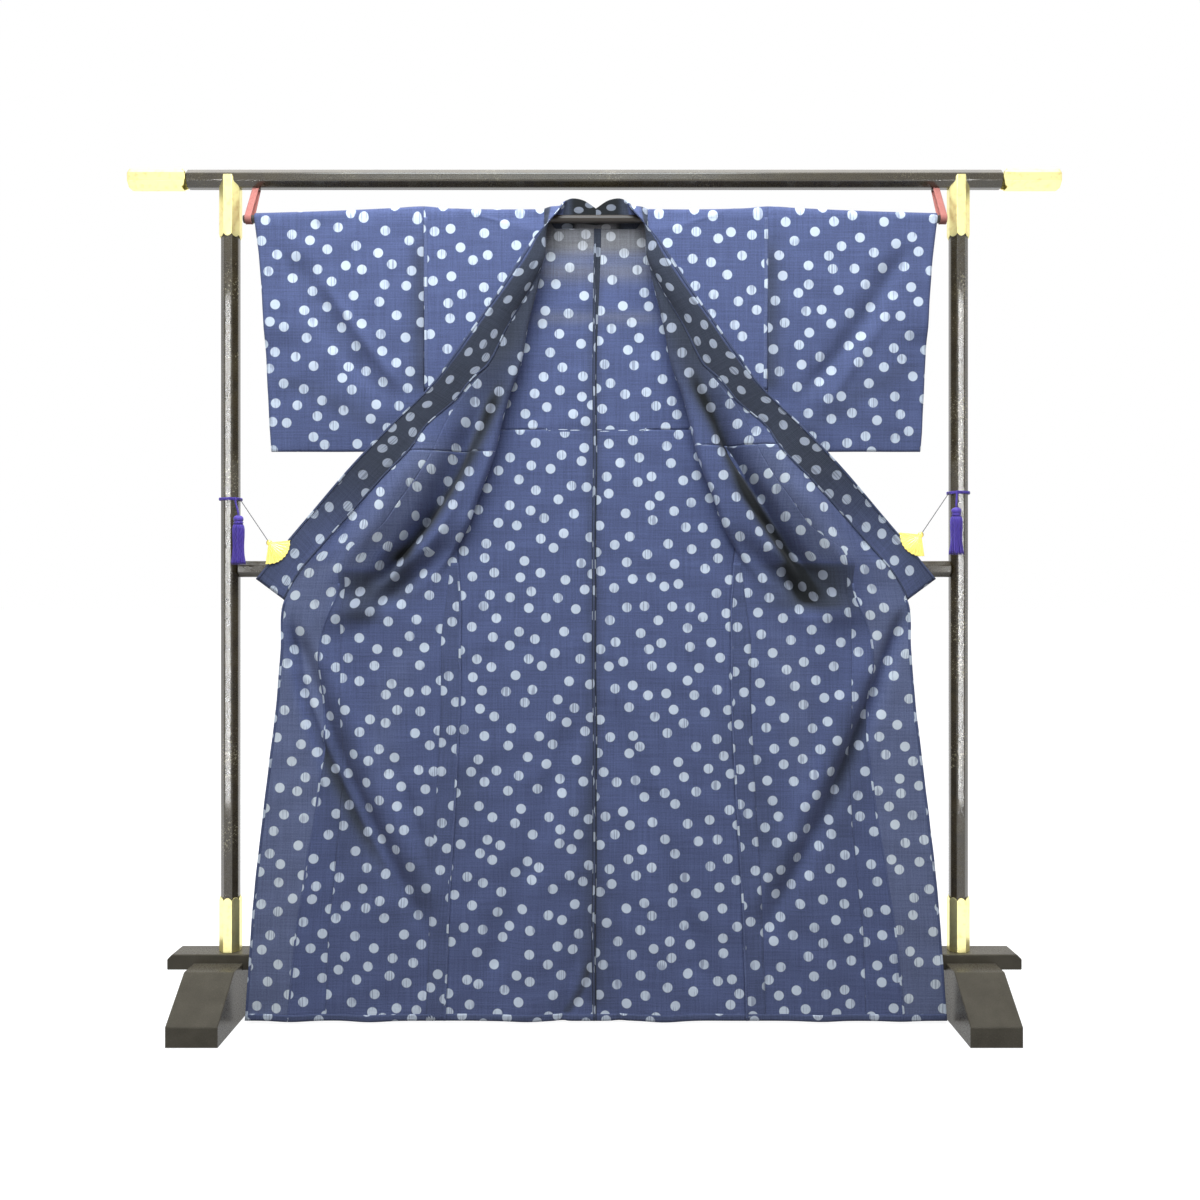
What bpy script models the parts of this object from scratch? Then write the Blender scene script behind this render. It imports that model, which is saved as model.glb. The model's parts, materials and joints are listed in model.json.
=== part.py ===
"""Cotton yukata robe, opened out on a lacquered kimono stand.

The robe hangs by its sleeves on a thin rod, and its fronts are turned outwards like two doors and
held at the collar tips by gold clips. The stand has two feet, a base plank, two posts, a lower
rail and a top bar.

Units are metres. +X is to the right as seen from the front, the front faces -Y, and +Z is up.
The origin is on the floor under the middle of the stand.
"""
import math

import bmesh
import bpy
import numpy as np

# ---------------------------------------------------------------- shared sizes
FIT_GAP = 0.0003                # between pieces that touch
SEAM_GAP = 0.0008               # between two cloth edges that curve together
FOLD_GAP = 0.0005               # each side of the shoulder line
SIDES = (("left", -1.0), ("right", 1.0))

# ---------------------------------------------------------------- the stand
BAR_HEIGHT = 1.699              # axis of the top bar
BAR_ACROSS = 0.037              # across the flats of its octagon
BAR_HALF = 0.9465               # middle to the end of a cap
CAP_LENGTH = 0.118
CAP_ACROSS = 0.0405
POST_X = 0.742
POST_ACROSS = 0.036
RAIL_HEIGHT = 0.905
RAIL_ACROSS = 0.033
FITTING_ACROSS = 0.0415
TOP_FITTING_BOTTOM = 1.578
BASE_FITTING_TOP = 0.239
PLANK_HALF = 0.861
PLANK_DEPTH = 0.060
PLANK_BOTTOM = 0.097
PLANK_TOP = 0.128
PLANK_CHAMFER = 0.010
FOOT_X = 0.757
FOOT_WIDTH = 0.099
FOOT_HALF = 0.1825
FOOT_FACE = 0.039               # height of its upright end face
FOOT_TOP = 0.111
FOOT_FLAT_HALF = 0.085

# ---------------------------------------------------------------- what holds the robe
ROD_Y = -0.050
ROD_HEIGHT = 1.602
ROD_RADIUS = 0.008
ROD_HALF = 0.700
STRAP_X = {"left": 0.689, "right": 0.695}
STRAP_WIDTH = 0.013
STRAP_WALL = 0.0018
STRAP_LEGS = (-0.0065, 0.0060)  # where the tape's two ends are fixed under the bar, along Y
STRAP_HANG = 0.0008             # the bar's underside to the middle of the tape's ends
STRAP_ARC_POINTS = 14
CLIP_APEX = {"left": (0.6475, 0.956), "right": (0.6499, 0.9718)}
CLIP_REACH = 0.043
CLIP_BOSS = 0.006
CLIP_FAN_TURN = (-6.0, 98.0)    # degrees from straight out, downwards
CLIP_BOSS_TURN = (110.0, 340.0)
CLIP_THICK = 0.0105
CLIP_SLOT = 0.0070
CLIP_SLOT_LENGTH = 0.300
CLIP_SLOT_DEPTH = 0.060
CLIP_SLOT_CLEAR = 0.0020        # the slot's floor to the collar's edge
CLIP_FORWARD = 0.0045
WRAP_HEIGHT = {"left": 1.047, "right": 1.060}
WRAP_RING = 0.0223              # axis of the winding to the axis of the post
WRAP_CORD = 0.0025
PULL_CORD_RADIUS = 0.0008
PULL_CORD_TURN = -30.0          # where it leaves the winding, in degrees round the post
STEM_RADIUS = 0.0022
STEM_ABOVE = 0.0030             # its start above the winding's axis
STEM_IN_HEAD = 0.0009           # its end above the tassel's head
STEM_SAG = (0.014, 0.010)       # how far it runs straight down at its start and its end
TASSEL_X = {"left": 0.714, "right": 0.726}
TASSEL_Y = -0.0385
TASSEL_HEAD = {"left": 1.012, "right": 1.028}
TASSEL_LENGTH = {"left": 0.101, "right": 0.097}
TASSEL_RADIUS = 0.0110
TASSEL_FLARE = 1.60
STRANDS_ROUND = 12
STRAND_GAP = 0.00045            # half the gap between two strands at their roots
STRAND_UNEVEN = 0.004
TASSEL_PROFILE = ((0.30, 0.0), (0.62, -0.0015), (0.82, -0.005), (0.80, -0.010), (1.0, -0.014))

# ---------------------------------------------------------------- the robe
CLOTH_WALL = 0.0012
COLLAR_WALL = 0.0022
ROBE_X = 0.003                  # the robe hangs a little right of the stand's middle
SHOULDER = 1.620                # height that every drop is measured from
BEND = 0.0100                   # radius of the cloth over the rod
ROD_DROP = SHOULDER - ROD_HEIGHT
HEM_DROP = 1.613
NECK_HALF = 0.1035
NECK_FLAT_HALF = 0.080          # out to here the back's neck edge is level
NECK_DROP = 0.034
NECK_AT = (0.080, 0.088, 0.094, 0.0995)  # where the neck edge climbs to the shoulder line
BACK_MIDDLE = 0.045             # a column of the back's grid behind the neck
BACK_COLUMNS = (0.42, 0.56, 0.70, 0.85, 1.0)  # the others, as shares of the half width
ROLL_RADIUS = 0.009
ARMHOLE = 0.342

# Height that the shoulder line stands above the rod, by distance from the robe's middle.
LIFT_AT = (0.00, 0.26, 0.30, 0.340, 0.40, 0.50, 0.68)
LIFT = (0.009, 0.009, 0.011, 0.015, 0.012, 0.007, 0.001)

# The hanging plane of the back: how far it lies in front of the rod's axis.
BACK_AT = (0.000, 0.300, 0.700, 1.000, 1.300, 1.613)
BACK_FORWARD = (-0.0100, -0.0100, -0.0090, -0.0040, 0.0040, 0.0120)

# One row for each level of a front: the drop and the cut width between the panel's seams, then
# distances out from the robe's middle (side: armhole or side seam, roll: where the front turns
# back, edge: collar seam or front edge), then distances forward of the rod (under: the layer
# behind the roll, turned: the layer in front of it at the roll, rim: the same at its outer edge).
FRONT_COLUMNS = ("drop", "cut", "side", "roll", "edge", "under", "turned", "rim")
FRONT_SECTIONS = (
    (0.000, 0.2395, 0.342, 0.092, 0.180, 0.0100, 0.0300, 0.0300),
    (0.058, 0.2410, 0.342, 0.097, 0.182, 0.0100, 0.0300, 0.0300),
    (0.148, 0.2470, 0.342, 0.112, 0.192, 0.0100, 0.0300, 0.0320),
    (0.238, 0.2540, 0.341, 0.134, 0.212, 0.0095, 0.0300, 0.0360),
    (0.318, 0.2630, 0.341, 0.150, 0.238, 0.0085, 0.0300, 0.0380),
    (0.378, 0.2700, 0.3395, 0.172, 0.268, 0.0055, 0.0300, 0.0380),
    (0.438, 0.2690, 0.326, 0.188, 0.334, 0.0000, 0.0290, 0.0370),
    (0.480, 0.2610, 0.311, 0.198, 0.361, -0.0050, 0.0280, 0.0350),
    (0.538, 0.2520, 0.298, 0.218, 0.419, -0.0072, 0.0270, 0.0300),
    (0.578, 0.2470, 0.291, 0.234, 0.458, -0.0072, 0.0250, 0.0250),
    (0.664, 0.2410, 0.280, 0.260, 0.538, -0.0070, 0.0160, 0.0130),
    (0.736, 0.2400, 0.273, 0.266, 0.598, -0.0066, 0.0050, 0.0080),
    (0.778, 0.2400, 0.270, 0.268, 0.620, -0.0060, 0.0000, 0.0060),
    (0.878, 0.2400, 0.270, 0.268, 0.628, -0.0050, 0.0000, 0.0050),
    (0.978, 0.2400, 0.270, 0.268, 0.636, -0.0040, 0.0000, 0.0040),
    (1.098, 0.2400, 0.275, 0.273, 0.650, 0.0000, 0.0000, 0.0050),
    (1.218, 0.2400, 0.281, 0.279, 0.664, 0.0030, 0.0030, 0.0070),
    (1.338, 0.2400, 0.288, 0.286, 0.677, 0.0060, 0.0060, 0.0090),
    (1.613, 0.2400, 0.298, 0.296, 0.697, 0.0120, 0.0120, 0.0120),
)
FOLD_OPENS = (0.620, 0.800)     # drops between which the turned front opens out flat
UNDER_BULGE = 0.005             # the under layer stands forward of its side seam
UNDER_RISE = 1.5                # how fast it comes forward along the section
STEEPER = 3.0                   # how much faster it does so where the fold opens
STEEPENS = (0.45, 0.18)         # the drop where that begins, and over how much
ROLL_START = 0.57               # where the roll begins, as a share of its radius
ROLL_CLEAR = (0.012, 0.010)     # least length of cloth before the roll and after it
POINT_WIDTH = 0.002             # the overlap panel at its upper point

# Soft creases: they start at (top, top_x), end at (end, end_x), bow outwards in between, and
# rise to their height over the first part of their run and fall over the last part.
CREASE_COLUMNS = ("top", "top_x", "end", "end_x", "bow", "height", "width", "rise", "fall")
TURNED_CREASES = (
    (0.280, 0.165, 0.850, 0.455, 0.004, -0.036, 0.024, 0.75, 0.25),
    (0.400, 0.300, 0.800, 0.540, 0.000, 0.020, 0.036, 0.50, 0.30),
)
OPEN_CREASES = (
    (0.790, 0.620, 1.500, 0.310, 0.018, -0.015, 0.020, 0.15, 0.30),
    (0.840, 0.560, 1.480, 0.260, 0.020, 0.008, 0.026, 0.20, 0.30),
    (0.920, 0.010, 1.590, 0.230, 0.000, -0.009, 0.030, 0.30, 0.15),
    (1.000, 0.110, 1.660, 0.135, 0.000, 0.008, 0.040, 0.50, 0.05),
    (1.150, 0.400, 1.660, 0.455, 0.000, 0.007, 0.040, 0.50, 0.05),
    (1.150, 0.570, 1.660, 0.610, 0.000, 0.006, 0.035, 0.50, 0.05),
)
# Soft swellings: the lip of the cloth that bags below each collar tip.
BULGE_COLUMNS = ("drop", "x", "half_drop", "half_x", "height")
TURNED_BULGES = ((0.800, 0.470, 0.030, 0.070, 0.014),)

# The sleeve: how far it stands forward and back of its own middle, and its outer edge.
SLEEVE_DROP = 0.482
SLEEVE_AT = (0.018, 0.100, 0.240, 0.360, 0.440, 0.482)
SLEEVE_HALF = (0.0100, 0.0105, 0.0100, 0.0080, 0.0052, 0.0028)
SLEEVE_EDGE = (0.679, 0.669, 0.660, 0.654, 0.650, 0.647)
CUFF_DROP = 0.230               # below this the cuff is sewn shut
CUFF_HALF = 0.0024
CUFF_FROM = (0.72, 0.25)        # share across the sleeve where its sewing begins, and its blend
CUFF_FADE = 0.05                # and the same downwards, in metres
SLEEVE_CREASE = (0.060, 0.625, 0.400, 0.400, 0.010, -0.010, 0.026, 0.20, 0.20)

# The levels that neighbouring panels share, so that their seams run side by side.
TURN_LEVELS = (0.0, 0.006, 0.012, ROD_DROP)
UPPER_LEVELS = np.array([
    0.050, 0.085, 0.115, 0.135, 0.150, 0.170, 0.200, 0.240, 0.280, 0.323, 0.368, 0.414,
    0.459, 0.505, 0.550, 0.596, 0.632, 0.652, 0.662, 0.670, 0.678, 0.690, 0.710, 0.740, 0.778])
LOWER_LEVELS = np.linspace(0.822, HEM_DROP, 8)
POINT_LEVEL = 9                 # the upper level at which the overlap panel starts
COLLAR_LEVELS = (ROD_DROP, 0.026, 0.034, 0.042, 0.050, 0.060, 0.072)

# The collar band. Its seam follows the neck edge of the back (seam below 0: the distance still
# to go to the shoulder line), then the edge of the front (seam above 0: the drop). The middle of
# the band bows out of the straight line from its seam to its free edge.
COLLAR_COLUMNS = ("seam", "bow_x", "bow_forward", "bow_up", "free_x", "free_forward", "free_height")
COLLAR_STATIONS = (
    (-0.1035, 0.000, -0.001, 0.000, 0.000, -0.0145, 1.6280),
    (-0.0795, 0.000, -0.001, 0.000, 0.024, -0.0150, 1.6440),
    (-0.0580, 0.000, -0.001, 0.000, 0.045, -0.0150, 1.6485),
    (-0.0360, 0.000, -0.003, 0.002, 0.060, -0.0110, 1.6430),
    (-0.0180, 0.000, -0.003, 0.003, 0.066, 0.0010, 1.6330),
    (0.000, 0.000, 0.001, 0.003, 0.069, 0.0150, 1.6200),
    (0.018, -0.002, 0.003, 0.002, 0.080, 0.0280, 1.6020),
    (0.050, -0.006, 0.005, 0.000, 0.108, 0.0400, 1.5680),
    (0.072, -0.010, 0.005, 0.000, 0.124, 0.0440, 1.5480),
    (0.095, -0.015, 0.004, 0.000, 0.138, 0.0470, 1.5270),
    (0.150, -0.012, 0.004, 0.000, 0.170, 0.0490, 1.4770),
    (0.238, -0.004, 0.004, 0.000, 0.218, 0.0500, 1.4060),
    (0.318, 0.000, 0.002, 0.000, 0.272, 0.0490, 1.3300),
    (0.378, 0.000, 0.001, 0.000, 0.318, 0.0460, 1.2680),
    (0.480, 0.000, 0.001, 0.000, 0.412, 0.0400, 1.1760),
    (0.550, 0.000, 0.000, 0.000, 0.478, 0.0280, 1.1110),
    (0.660, 0.000, 0.000, 0.000, 0.574, 0.0080, 1.0060),
    (0.726, 0.000, 0.000, 0.000, 0.636, 0.0045, 0.9340),
    (0.778, 0.000, 0.000, 0.000, 0.677, 0.0045, 0.8840),
)


# ---------------------------------------------------------------- scene and finishes
def clear_scene():
    for item in list(bpy.data.objects):
        bpy.data.objects.remove(item)


def make_collection(name):
    collection = bpy.data.collections.new(name)
    bpy.context.scene.collection.children.link(collection)
    return collection


def make_finish(name, colour, roughness, metallic=0.0):
    finish = bpy.data.materials.new(name)
    finish.use_nodes = True
    shader = finish.node_tree.nodes["Principled BSDF"]
    shader.inputs["Base Color"].default_value = (*colour, 1.0)
    shader.inputs["Roughness"].default_value = roughness
    shader.inputs["Metallic"].default_value = metallic
    finish.diffuse_color = (*colour, 1.0)
    return finish


def place(item, collection, finish=None):
    """Move an object into one collection and give it its finish."""
    for owner in list(item.users_collection):
        owner.objects.unlink(item)
    collection.objects.link(item)
    if finish is not None:
        item.data.materials.clear()
        item.data.materials.append(finish)
    return item


# ---------------------------------------------------------------- helpers for solids
def add_bevel(item, width, segments=2):
    bevel = item.modifiers.new("soft_edges", "BEVEL")
    bevel.width = width
    bevel.segments = segments
    bevel.limit_method = "ANGLE"


def octagon_bar(name, across, length, centre, axis):
    """An eight-sided bar with two flats level, along X or upright."""
    bpy.ops.mesh.primitive_cylinder_add(
        vertices=8, radius=across / 2 / math.cos(math.pi / 8), depth=length)
    item = bpy.context.object
    item.name = name
    turn = math.pi / 8
    rotation = (0.0, math.pi / 2, 0.0) if axis == "x" else (0.0, 0.0, 0.0)
    for vertex in item.data.vertices:
        x, y = vertex.co.x, vertex.co.y
        vertex.co.x = x * math.cos(turn) - y * math.sin(turn)
        vertex.co.y = x * math.sin(turn) + y * math.cos(turn)
    item.rotation_euler = rotation
    item.location = centre
    return item


def outline_plate(name, outline, thickness, rotation, centre):
    """A flat closed outline with a thickness, as a filled 2D curve."""
    data = bpy.data.curves.new(name, "CURVE")
    data.dimensions = "2D"
    data.fill_mode = "BOTH"
    data.extrude = thickness / 2
    spline = data.splines.new("POLY")
    spline.points.add(len(outline) - 1)
    for point, (x, y) in zip(spline.points, outline):
        point.co = (x, y, 0.0, 1.0)
    spline.use_cyclic_u = True
    item = bpy.data.objects.new(name, data)
    item.rotation_euler = rotation
    item.location = centre
    bpy.context.scene.collection.objects.link(item)
    return item


def curve_to_mesh(item):
    """Replace a curve object by its welded mesh, in the same place."""
    bpy.context.view_layer.update()
    evaluated = item.evaluated_get(bpy.context.evaluated_depsgraph_get())
    data = bpy.data.meshes.new_from_object(evaluated)
    welded = bmesh.new()
    welded.from_mesh(data)
    bmesh.ops.remove_doubles(welded, verts=welded.verts, dist=0.00001)
    welded.to_mesh(data)
    welded.free()
    name = item.name
    solid = bpy.data.objects.new(name, data)
    solid.matrix_world = item.matrix_world
    bpy.context.scene.collection.objects.link(solid)
    bpy.data.objects.remove(item)
    solid.name = name
    return solid


def cut(item, cutter, cutters):
    """Take a cutter away from an item, and keep the cutter out of the model."""
    place(cutter, cutters)
    cutter.hide_render = True
    cutter.display_type = "WIRE"
    difference = item.modifiers.new("cut", "BOOLEAN")
    difference.operation = "DIFFERENCE"
    difference.object = cutter


def tube(name, points, radius):
    data = bpy.data.curves.new(name, "CURVE")
    data.dimensions = "3D"
    data.bevel_depth = radius
    data.bevel_resolution = 2
    data.use_fill_caps = True
    spline = data.splines.new("POLY")
    spline.points.add(len(points) - 1)
    for point, position in zip(spline.points, points):
        point.co = (*position, 1.0)
    item = bpy.data.objects.new(name, data)
    bpy.context.scene.collection.objects.link(item)
    return item


# ---------------------------------------------------------------- helpers for cloth
def smooth_value(at, knots, values):
    """A smooth curve through the knots: a cubic between each two, level with its neighbours."""
    at = np.clip(np.asarray(at, dtype=float), knots[0], knots[-1])
    knots = np.asarray(knots, dtype=float)
    values = np.asarray(values, dtype=float)
    slopes = np.gradient(values, knots)
    before = np.clip(np.searchsorted(knots, at) - 1, 0, len(knots) - 2)
    span = knots[before + 1] - knots[before]
    t = (at - knots[before]) / span
    return ((1 + 2 * t) * (1 - t) ** 2 * values[before]
            + t * (1 - t) ** 2 * span * slopes[before]
            + t ** 2 * (3 - 2 * t) * values[before + 1]
            + t ** 2 * (t - 1) * span * slopes[before + 1])


def ease(t):
    t = np.clip(t, 0.0, 1.0)
    return t * t * (3 - 2 * t)


def read_table(table, columns, name, at):
    """One named column of a table, at any value of its first column."""
    column = columns.index(name)
    return smooth_value(at, [row[0] for row in table], [row[column] for row in table])


def level(name, drop):
    """One named size of the front's sections, at any drop."""
    return read_table(FRONT_SECTIONS, FRONT_COLUMNS, name, drop)


def crease_height(row, x, drop):
    """How far one crease moves the cloth forward at (x, drop)."""
    top, top_x, end, end_x, bow, height, width, rise, fall = row
    t = (drop - top) / (end - top)
    inside = np.clip(t, 0.0, 1.0)
    centre = top_x + (end_x - top_x) * inside + 4 * bow * inside * (1 - inside)
    fade = ease(t / rise) * ease((1 - t) / fall)
    return height * fade * np.exp(-((x - centre) / width) ** 2)


def bulge_height(row, x, drop):
    centre_drop, centre_x, half_drop, half_x, height = row
    return height * np.exp(-((x - centre_x) / half_x) ** 2 - ((drop - centre_drop) / half_drop) ** 2)


def open_relief(x, drop):
    """Folds of the opened-out cloth, the same on both sides of the side seam."""
    return sum(crease_height(row, x, drop) for row in OPEN_CREASES)


def turned_relief(x, drop):
    """Folds of the turned fronts, above the level of the collar tips."""
    total = sum(crease_height(row, x, drop) for row in TURNED_CREASES)
    return total + sum(bulge_height(row, x, drop) for row in TURNED_BULGES)


def shoulder_height(x, drop):
    """Height of the cloth: it bends over the rod, then hangs straight down."""
    angle = np.clip(drop / ROD_DROP, 0.0, 1.0) * math.pi / 2
    lift = smooth_value(x, LIFT_AT, LIFT)
    over_rod = ROD_HEIGHT + (BEND + lift) * np.cos(angle)
    return np.where(drop < ROD_DROP, over_rod, SHOULDER - drop)


def bend_share(drop):
    """0 on the shoulder line and 1 from the rod's axis down."""
    return np.sin(np.clip(drop / ROD_DROP, 0.0, 1.0) * math.pi / 2)


def cloth_points(sign, x, forward, height):
    return np.stack([ROBE_X + sign * x, ROD_Y - forward, height], axis=-1)


def grid_faces(rows, columns, closed=False):
    """Quads of a grid whose points are stored row by row; closed joins the last row to the first."""
    row = np.arange(rows if closed else rows - 1)[:, None]
    column = np.arange(columns - 1)[None, :]
    first = row * columns + column
    after = ((row + 1) % rows) * columns + column
    return np.stack([first, first + 1, after + 1, after], axis=-1).reshape(-1, 4)


def cloth_sheet(name, points, wall, closed=False):
    """A wall of cloth on a grid of points through its middle."""
    rows, columns = points.shape[:2]
    mesh = bpy.data.meshes.new(name)
    mesh.from_pydata(points.reshape(-1, 3).tolist(), [], grid_faces(rows, columns, closed).tolist())
    mesh.update()
    item = bpy.data.objects.new(name, mesh)
    bpy.context.scene.collection.objects.link(item)
    solidify = item.modifiers.new("wall", "SOLIDIFY")
    solidify.thickness = wall
    solidify.offset = 0.0
    mesh.shade_smooth()
    return item


# ---------------------------------------------------------------- the robe's panels
def neck_edge(x):
    """Drop of the back's neck edge: level behind the neck, then up to the shoulder line."""
    return NECK_DROP * (1 - ease((x - NECK_FLAT_HALF) / (NECK_HALF - NECK_FLAT_HALF)))


def back_panel(side, sign):
    """Half of the back, from the middle seam to the side seam, shoulder line to hem."""
    drops = np.concatenate([TURN_LEVELS, UPPER_LEVELS[:17:4], UPPER_LEVELS[20:], LOWER_LEVELS])
    near_neck = np.array([0.0, BACK_MIDDLE, *NECK_AT, NECK_HALF])
    columns = np.append(near_neck / ARMHOLE, BACK_COLUMNS)
    fraction = columns[None, :] + 0.0 * drops[:, None]
    drop = drops[:, None] + 0.0 * fraction
    x = FIT_GAP / 2 + fraction * (level("side", drop) - FIT_GAP)
    neck = neck_edge(x)
    drop = neck + drop * (HEM_DROP - neck) / HEM_DROP
    fold_gap = FOLD_GAP * (1 - bend_share(drop))
    forward = (smooth_value(drop, BACK_AT, BACK_FORWARD) * bend_share(drop) - fold_gap
               + open_relief(x, drop))
    height = shoulder_height(x, drop)
    return cloth_sheet(f"back_body_{side}", cloth_points(sign, x, forward, height), CLOTH_WALL)


def front_path(drop, samples=(24, 17, 90)):
    """Level sections of a front, from its side seam round the roll to its outer edge.

    Each row of the result is one section. Above the fold's opening the section runs in behind
    the roll, round a half circle and out again; below it, straight out from the side seam.
    """
    drop = np.asarray(drop, dtype=float)[:, None]
    side, roll, edge = level("side", drop), level("roll", drop), level("edge", drop)
    under, turned, rim = level("under", drop), level("turned", drop), level("rim", drop)
    under = under * bend_share(drop)
    opened = ease((drop - FOLD_OPENS[0]) / (FOLD_OPENS[1] - FOLD_OPENS[0]))
    bulge = UNDER_BULGE * (1 - opened)
    radius = (turned - under - bulge) / 2
    width = ROLL_RADIUS * (1 - opened)
    turn_x = np.minimum(roll + width, side)
    run = np.linspace(0.0, 1.0, samples[0])[None, :]
    under_x = side + (turn_x - side) * run
    under_forward = under + bulge * ease(
        run * (UNDER_RISE + STEEPER * ease((drop - STEEPENS[0]) / STEEPENS[1])))
    angle = np.linspace(0.0, math.pi, samples[1] + 2)[None, 1:-1]
    roll_x = turn_x - width * np.sin(angle)
    roll_forward = under + bulge + radius * (1 - np.cos(angle))
    out = np.linspace(0.0, 1.0, samples[2])[None, :]
    out_x = turn_x + (edge - turn_x) * out
    relief = open_relief(out_x, drop) + turned_relief(out_x, drop)
    out_forward = turned + (rim - turned) * out + relief
    folded_x = np.concatenate([under_x, roll_x, out_x], axis=1)
    folded_forward = np.concatenate([under_forward, roll_forward, out_forward], axis=1)
    share = np.linspace(0.0, 1.0, folded_x.shape[1])[None, :]
    back = smooth_value(drop, BACK_AT, BACK_FORWARD)
    flat_x = side + (edge - side) * share
    flat_forward = (back + (rim - back) * share + open_relief(flat_x, drop)
                    + turned_relief(flat_x, drop))
    x = folded_x + (flat_x - folded_x) * opened
    forward = folded_forward + (flat_forward - folded_forward) * opened
    seam_push = FIT_GAP + CLOTH_WALL / 2 * np.clip(4 * opened * (1 - opened), 0.0, 1.0)
    x = x + seam_push * np.clip(opened * 6, 0.0, 1.0) * (1 - share) ** 8
    return x, forward


def path_lengths(x, forward):
    steps = np.hypot(np.diff(x, axis=1), np.diff(forward, axis=1))
    return np.concatenate([np.zeros((len(x), 1)), np.cumsum(steps, axis=1)], axis=1)


def read_path(path, lengths, at):
    """The path's values at given lengths along each row."""
    return np.array([np.interp(want, known, row) for want, known, row in zip(at, lengths, path)])


def front_panel(side, sign):
    """The front body panel: it hangs from the shoulder and turns outwards round its roll."""
    drops = np.concatenate([TURN_LEVELS, UPPER_LEVELS, LOWER_LEVELS])
    x, forward = front_path(drops)
    lengths = path_lengths(x, forward)
    cut = level("cut", drops)[:, None]
    behind = (level("side", drops) - level("roll", drops) + ROLL_START * ROLL_RADIUS)[:, None]
    half_roll = ROLL_RADIUS * math.pi / 2
    middle = np.clip(behind, half_roll + ROLL_CLEAR[0], cut - half_roll - ROLL_CLEAR[1])
    first = (middle - half_roll) * np.linspace(0.0, 1.0, 4)[None, :]
    turn = middle + half_roll * np.array([-0.5, 0.0, 0.5])[None, :]
    out = np.linspace(0.0, 1.0, 7)[None, :]
    last = middle + half_roll + (cut - SEAM_GAP - middle - half_roll) * out
    at = np.concatenate([first, turn, last], axis=1)
    height = shoulder_height(read_path(x, lengths, at), drops[:, None])
    forward = read_path(forward, lengths, at) + FOLD_GAP * (1 - bend_share(drops))[:, None]
    points = cloth_points(sign, read_path(x, lengths, at), forward, height)
    return cloth_sheet(f"front_body_{side}", points, CLOTH_WALL)


def overlap_panel(side, sign):
    """The narrow panel between the front body and the collar, then the front edge."""
    drops = np.concatenate([UPPER_LEVELS[POINT_LEVEL:], LOWER_LEVELS])
    x, forward = front_path(drops)
    lengths = path_lengths(x, forward)
    start = level("cut", drops)[:, None]
    width = lengths[:, -1:] - start
    width[0] = POINT_WIDTH
    at = start + width * np.linspace(0.0, 1.0, 7)[None, :]
    height = SHOULDER - drops[:, None] + 0.0 * at
    points = cloth_points(sign, read_path(x, lengths, at), read_path(forward, lengths, at), height)
    return cloth_sheet(f"overlap_{side}", points, CLOTH_WALL)


def collar_seam(drops):
    """The collar's seam down the front: the end of the front's cut width, then the edge."""
    x, forward = front_path(drops)
    lengths = path_lengths(x, forward)
    point = UPPER_LEVELS[POINT_LEVEL]
    end = level("cut", drops) + POINT_WIDTH * (drops > point - FIT_GAP)
    end = np.where(drops > point + FIT_GAP, lengths[:, -1], end)[:, None]
    seam_x = read_path(x, lengths, end)[:, 0]
    return np.stack([seam_x, read_path(forward, lengths, end)[:, 0],
                     shoulder_height(seam_x, drops)], axis=1)


def collar_band(side, sign):
    """Half of the collar: it stands behind the neck, passes over the rod and turns outwards."""
    neck_x = np.array([0.0, 0.024, 0.046, 0.066, *NECK_AT])
    neck_drop = neck_edge(neck_x)
    neck = np.stack([neck_x, -BEND * bend_share(neck_drop) - FOLD_GAP,
                     shoulder_height(neck_x, neck_drop)], axis=1)
    drops = np.concatenate([TURN_LEVELS[::2], COLLAR_LEVELS, UPPER_LEVELS[1:]])
    seam = np.concatenate([neck, collar_seam(drops)])
    run = np.concatenate([neck_x - NECK_HALF, drops])

    def station(name):
        return read_table(COLLAR_STATIONS, COLLAR_COLUMNS, name, run)

    free = np.stack([station("free_x"), station("free_forward"), station("free_height")], axis=1)
    bow = np.stack([station("bow_x"), station("bow_forward"), station("bow_up")], axis=1)
    control = (seam + free) / 2 + 2 * bow
    width = np.linalg.norm(free - seam, axis=1)
    beside = np.where(run < 0, FIT_GAP, SEAM_GAP + COLLAR_WALL / 4)
    start = (beside / width)[:, None]
    across = start + (1 - start) * np.linspace(0.0, 1.0, 6)[None, :]
    weight = np.stack([(1 - across) ** 2, 2 * across * (1 - across), across ** 2])[..., None]
    points = weight[0] * seam[:, None] + weight[1] * control[:, None] + weight[2] * free[:, None]
    points[0, :, 0] = FIT_GAP / 2
    points = cloth_points(sign, points[..., 0], points[..., 1], points[..., 2])
    return cloth_sheet(f"collar_{side}", points, COLLAR_WALL)


def sleeve_half(x_share, drop):
    """Half of the sleeve's thickness: it narrows downwards, and to nothing at the sewn cuff."""
    open_half = smooth_value(drop, SLEEVE_AT, SLEEVE_HALF)
    sewn = (ease((x_share - CUFF_FROM[0]) / CUFF_FROM[1])
            * ease((drop - CUFF_DROP) / CUFF_FADE))
    return open_half + (CUFF_HALF - open_half) * sewn


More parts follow.
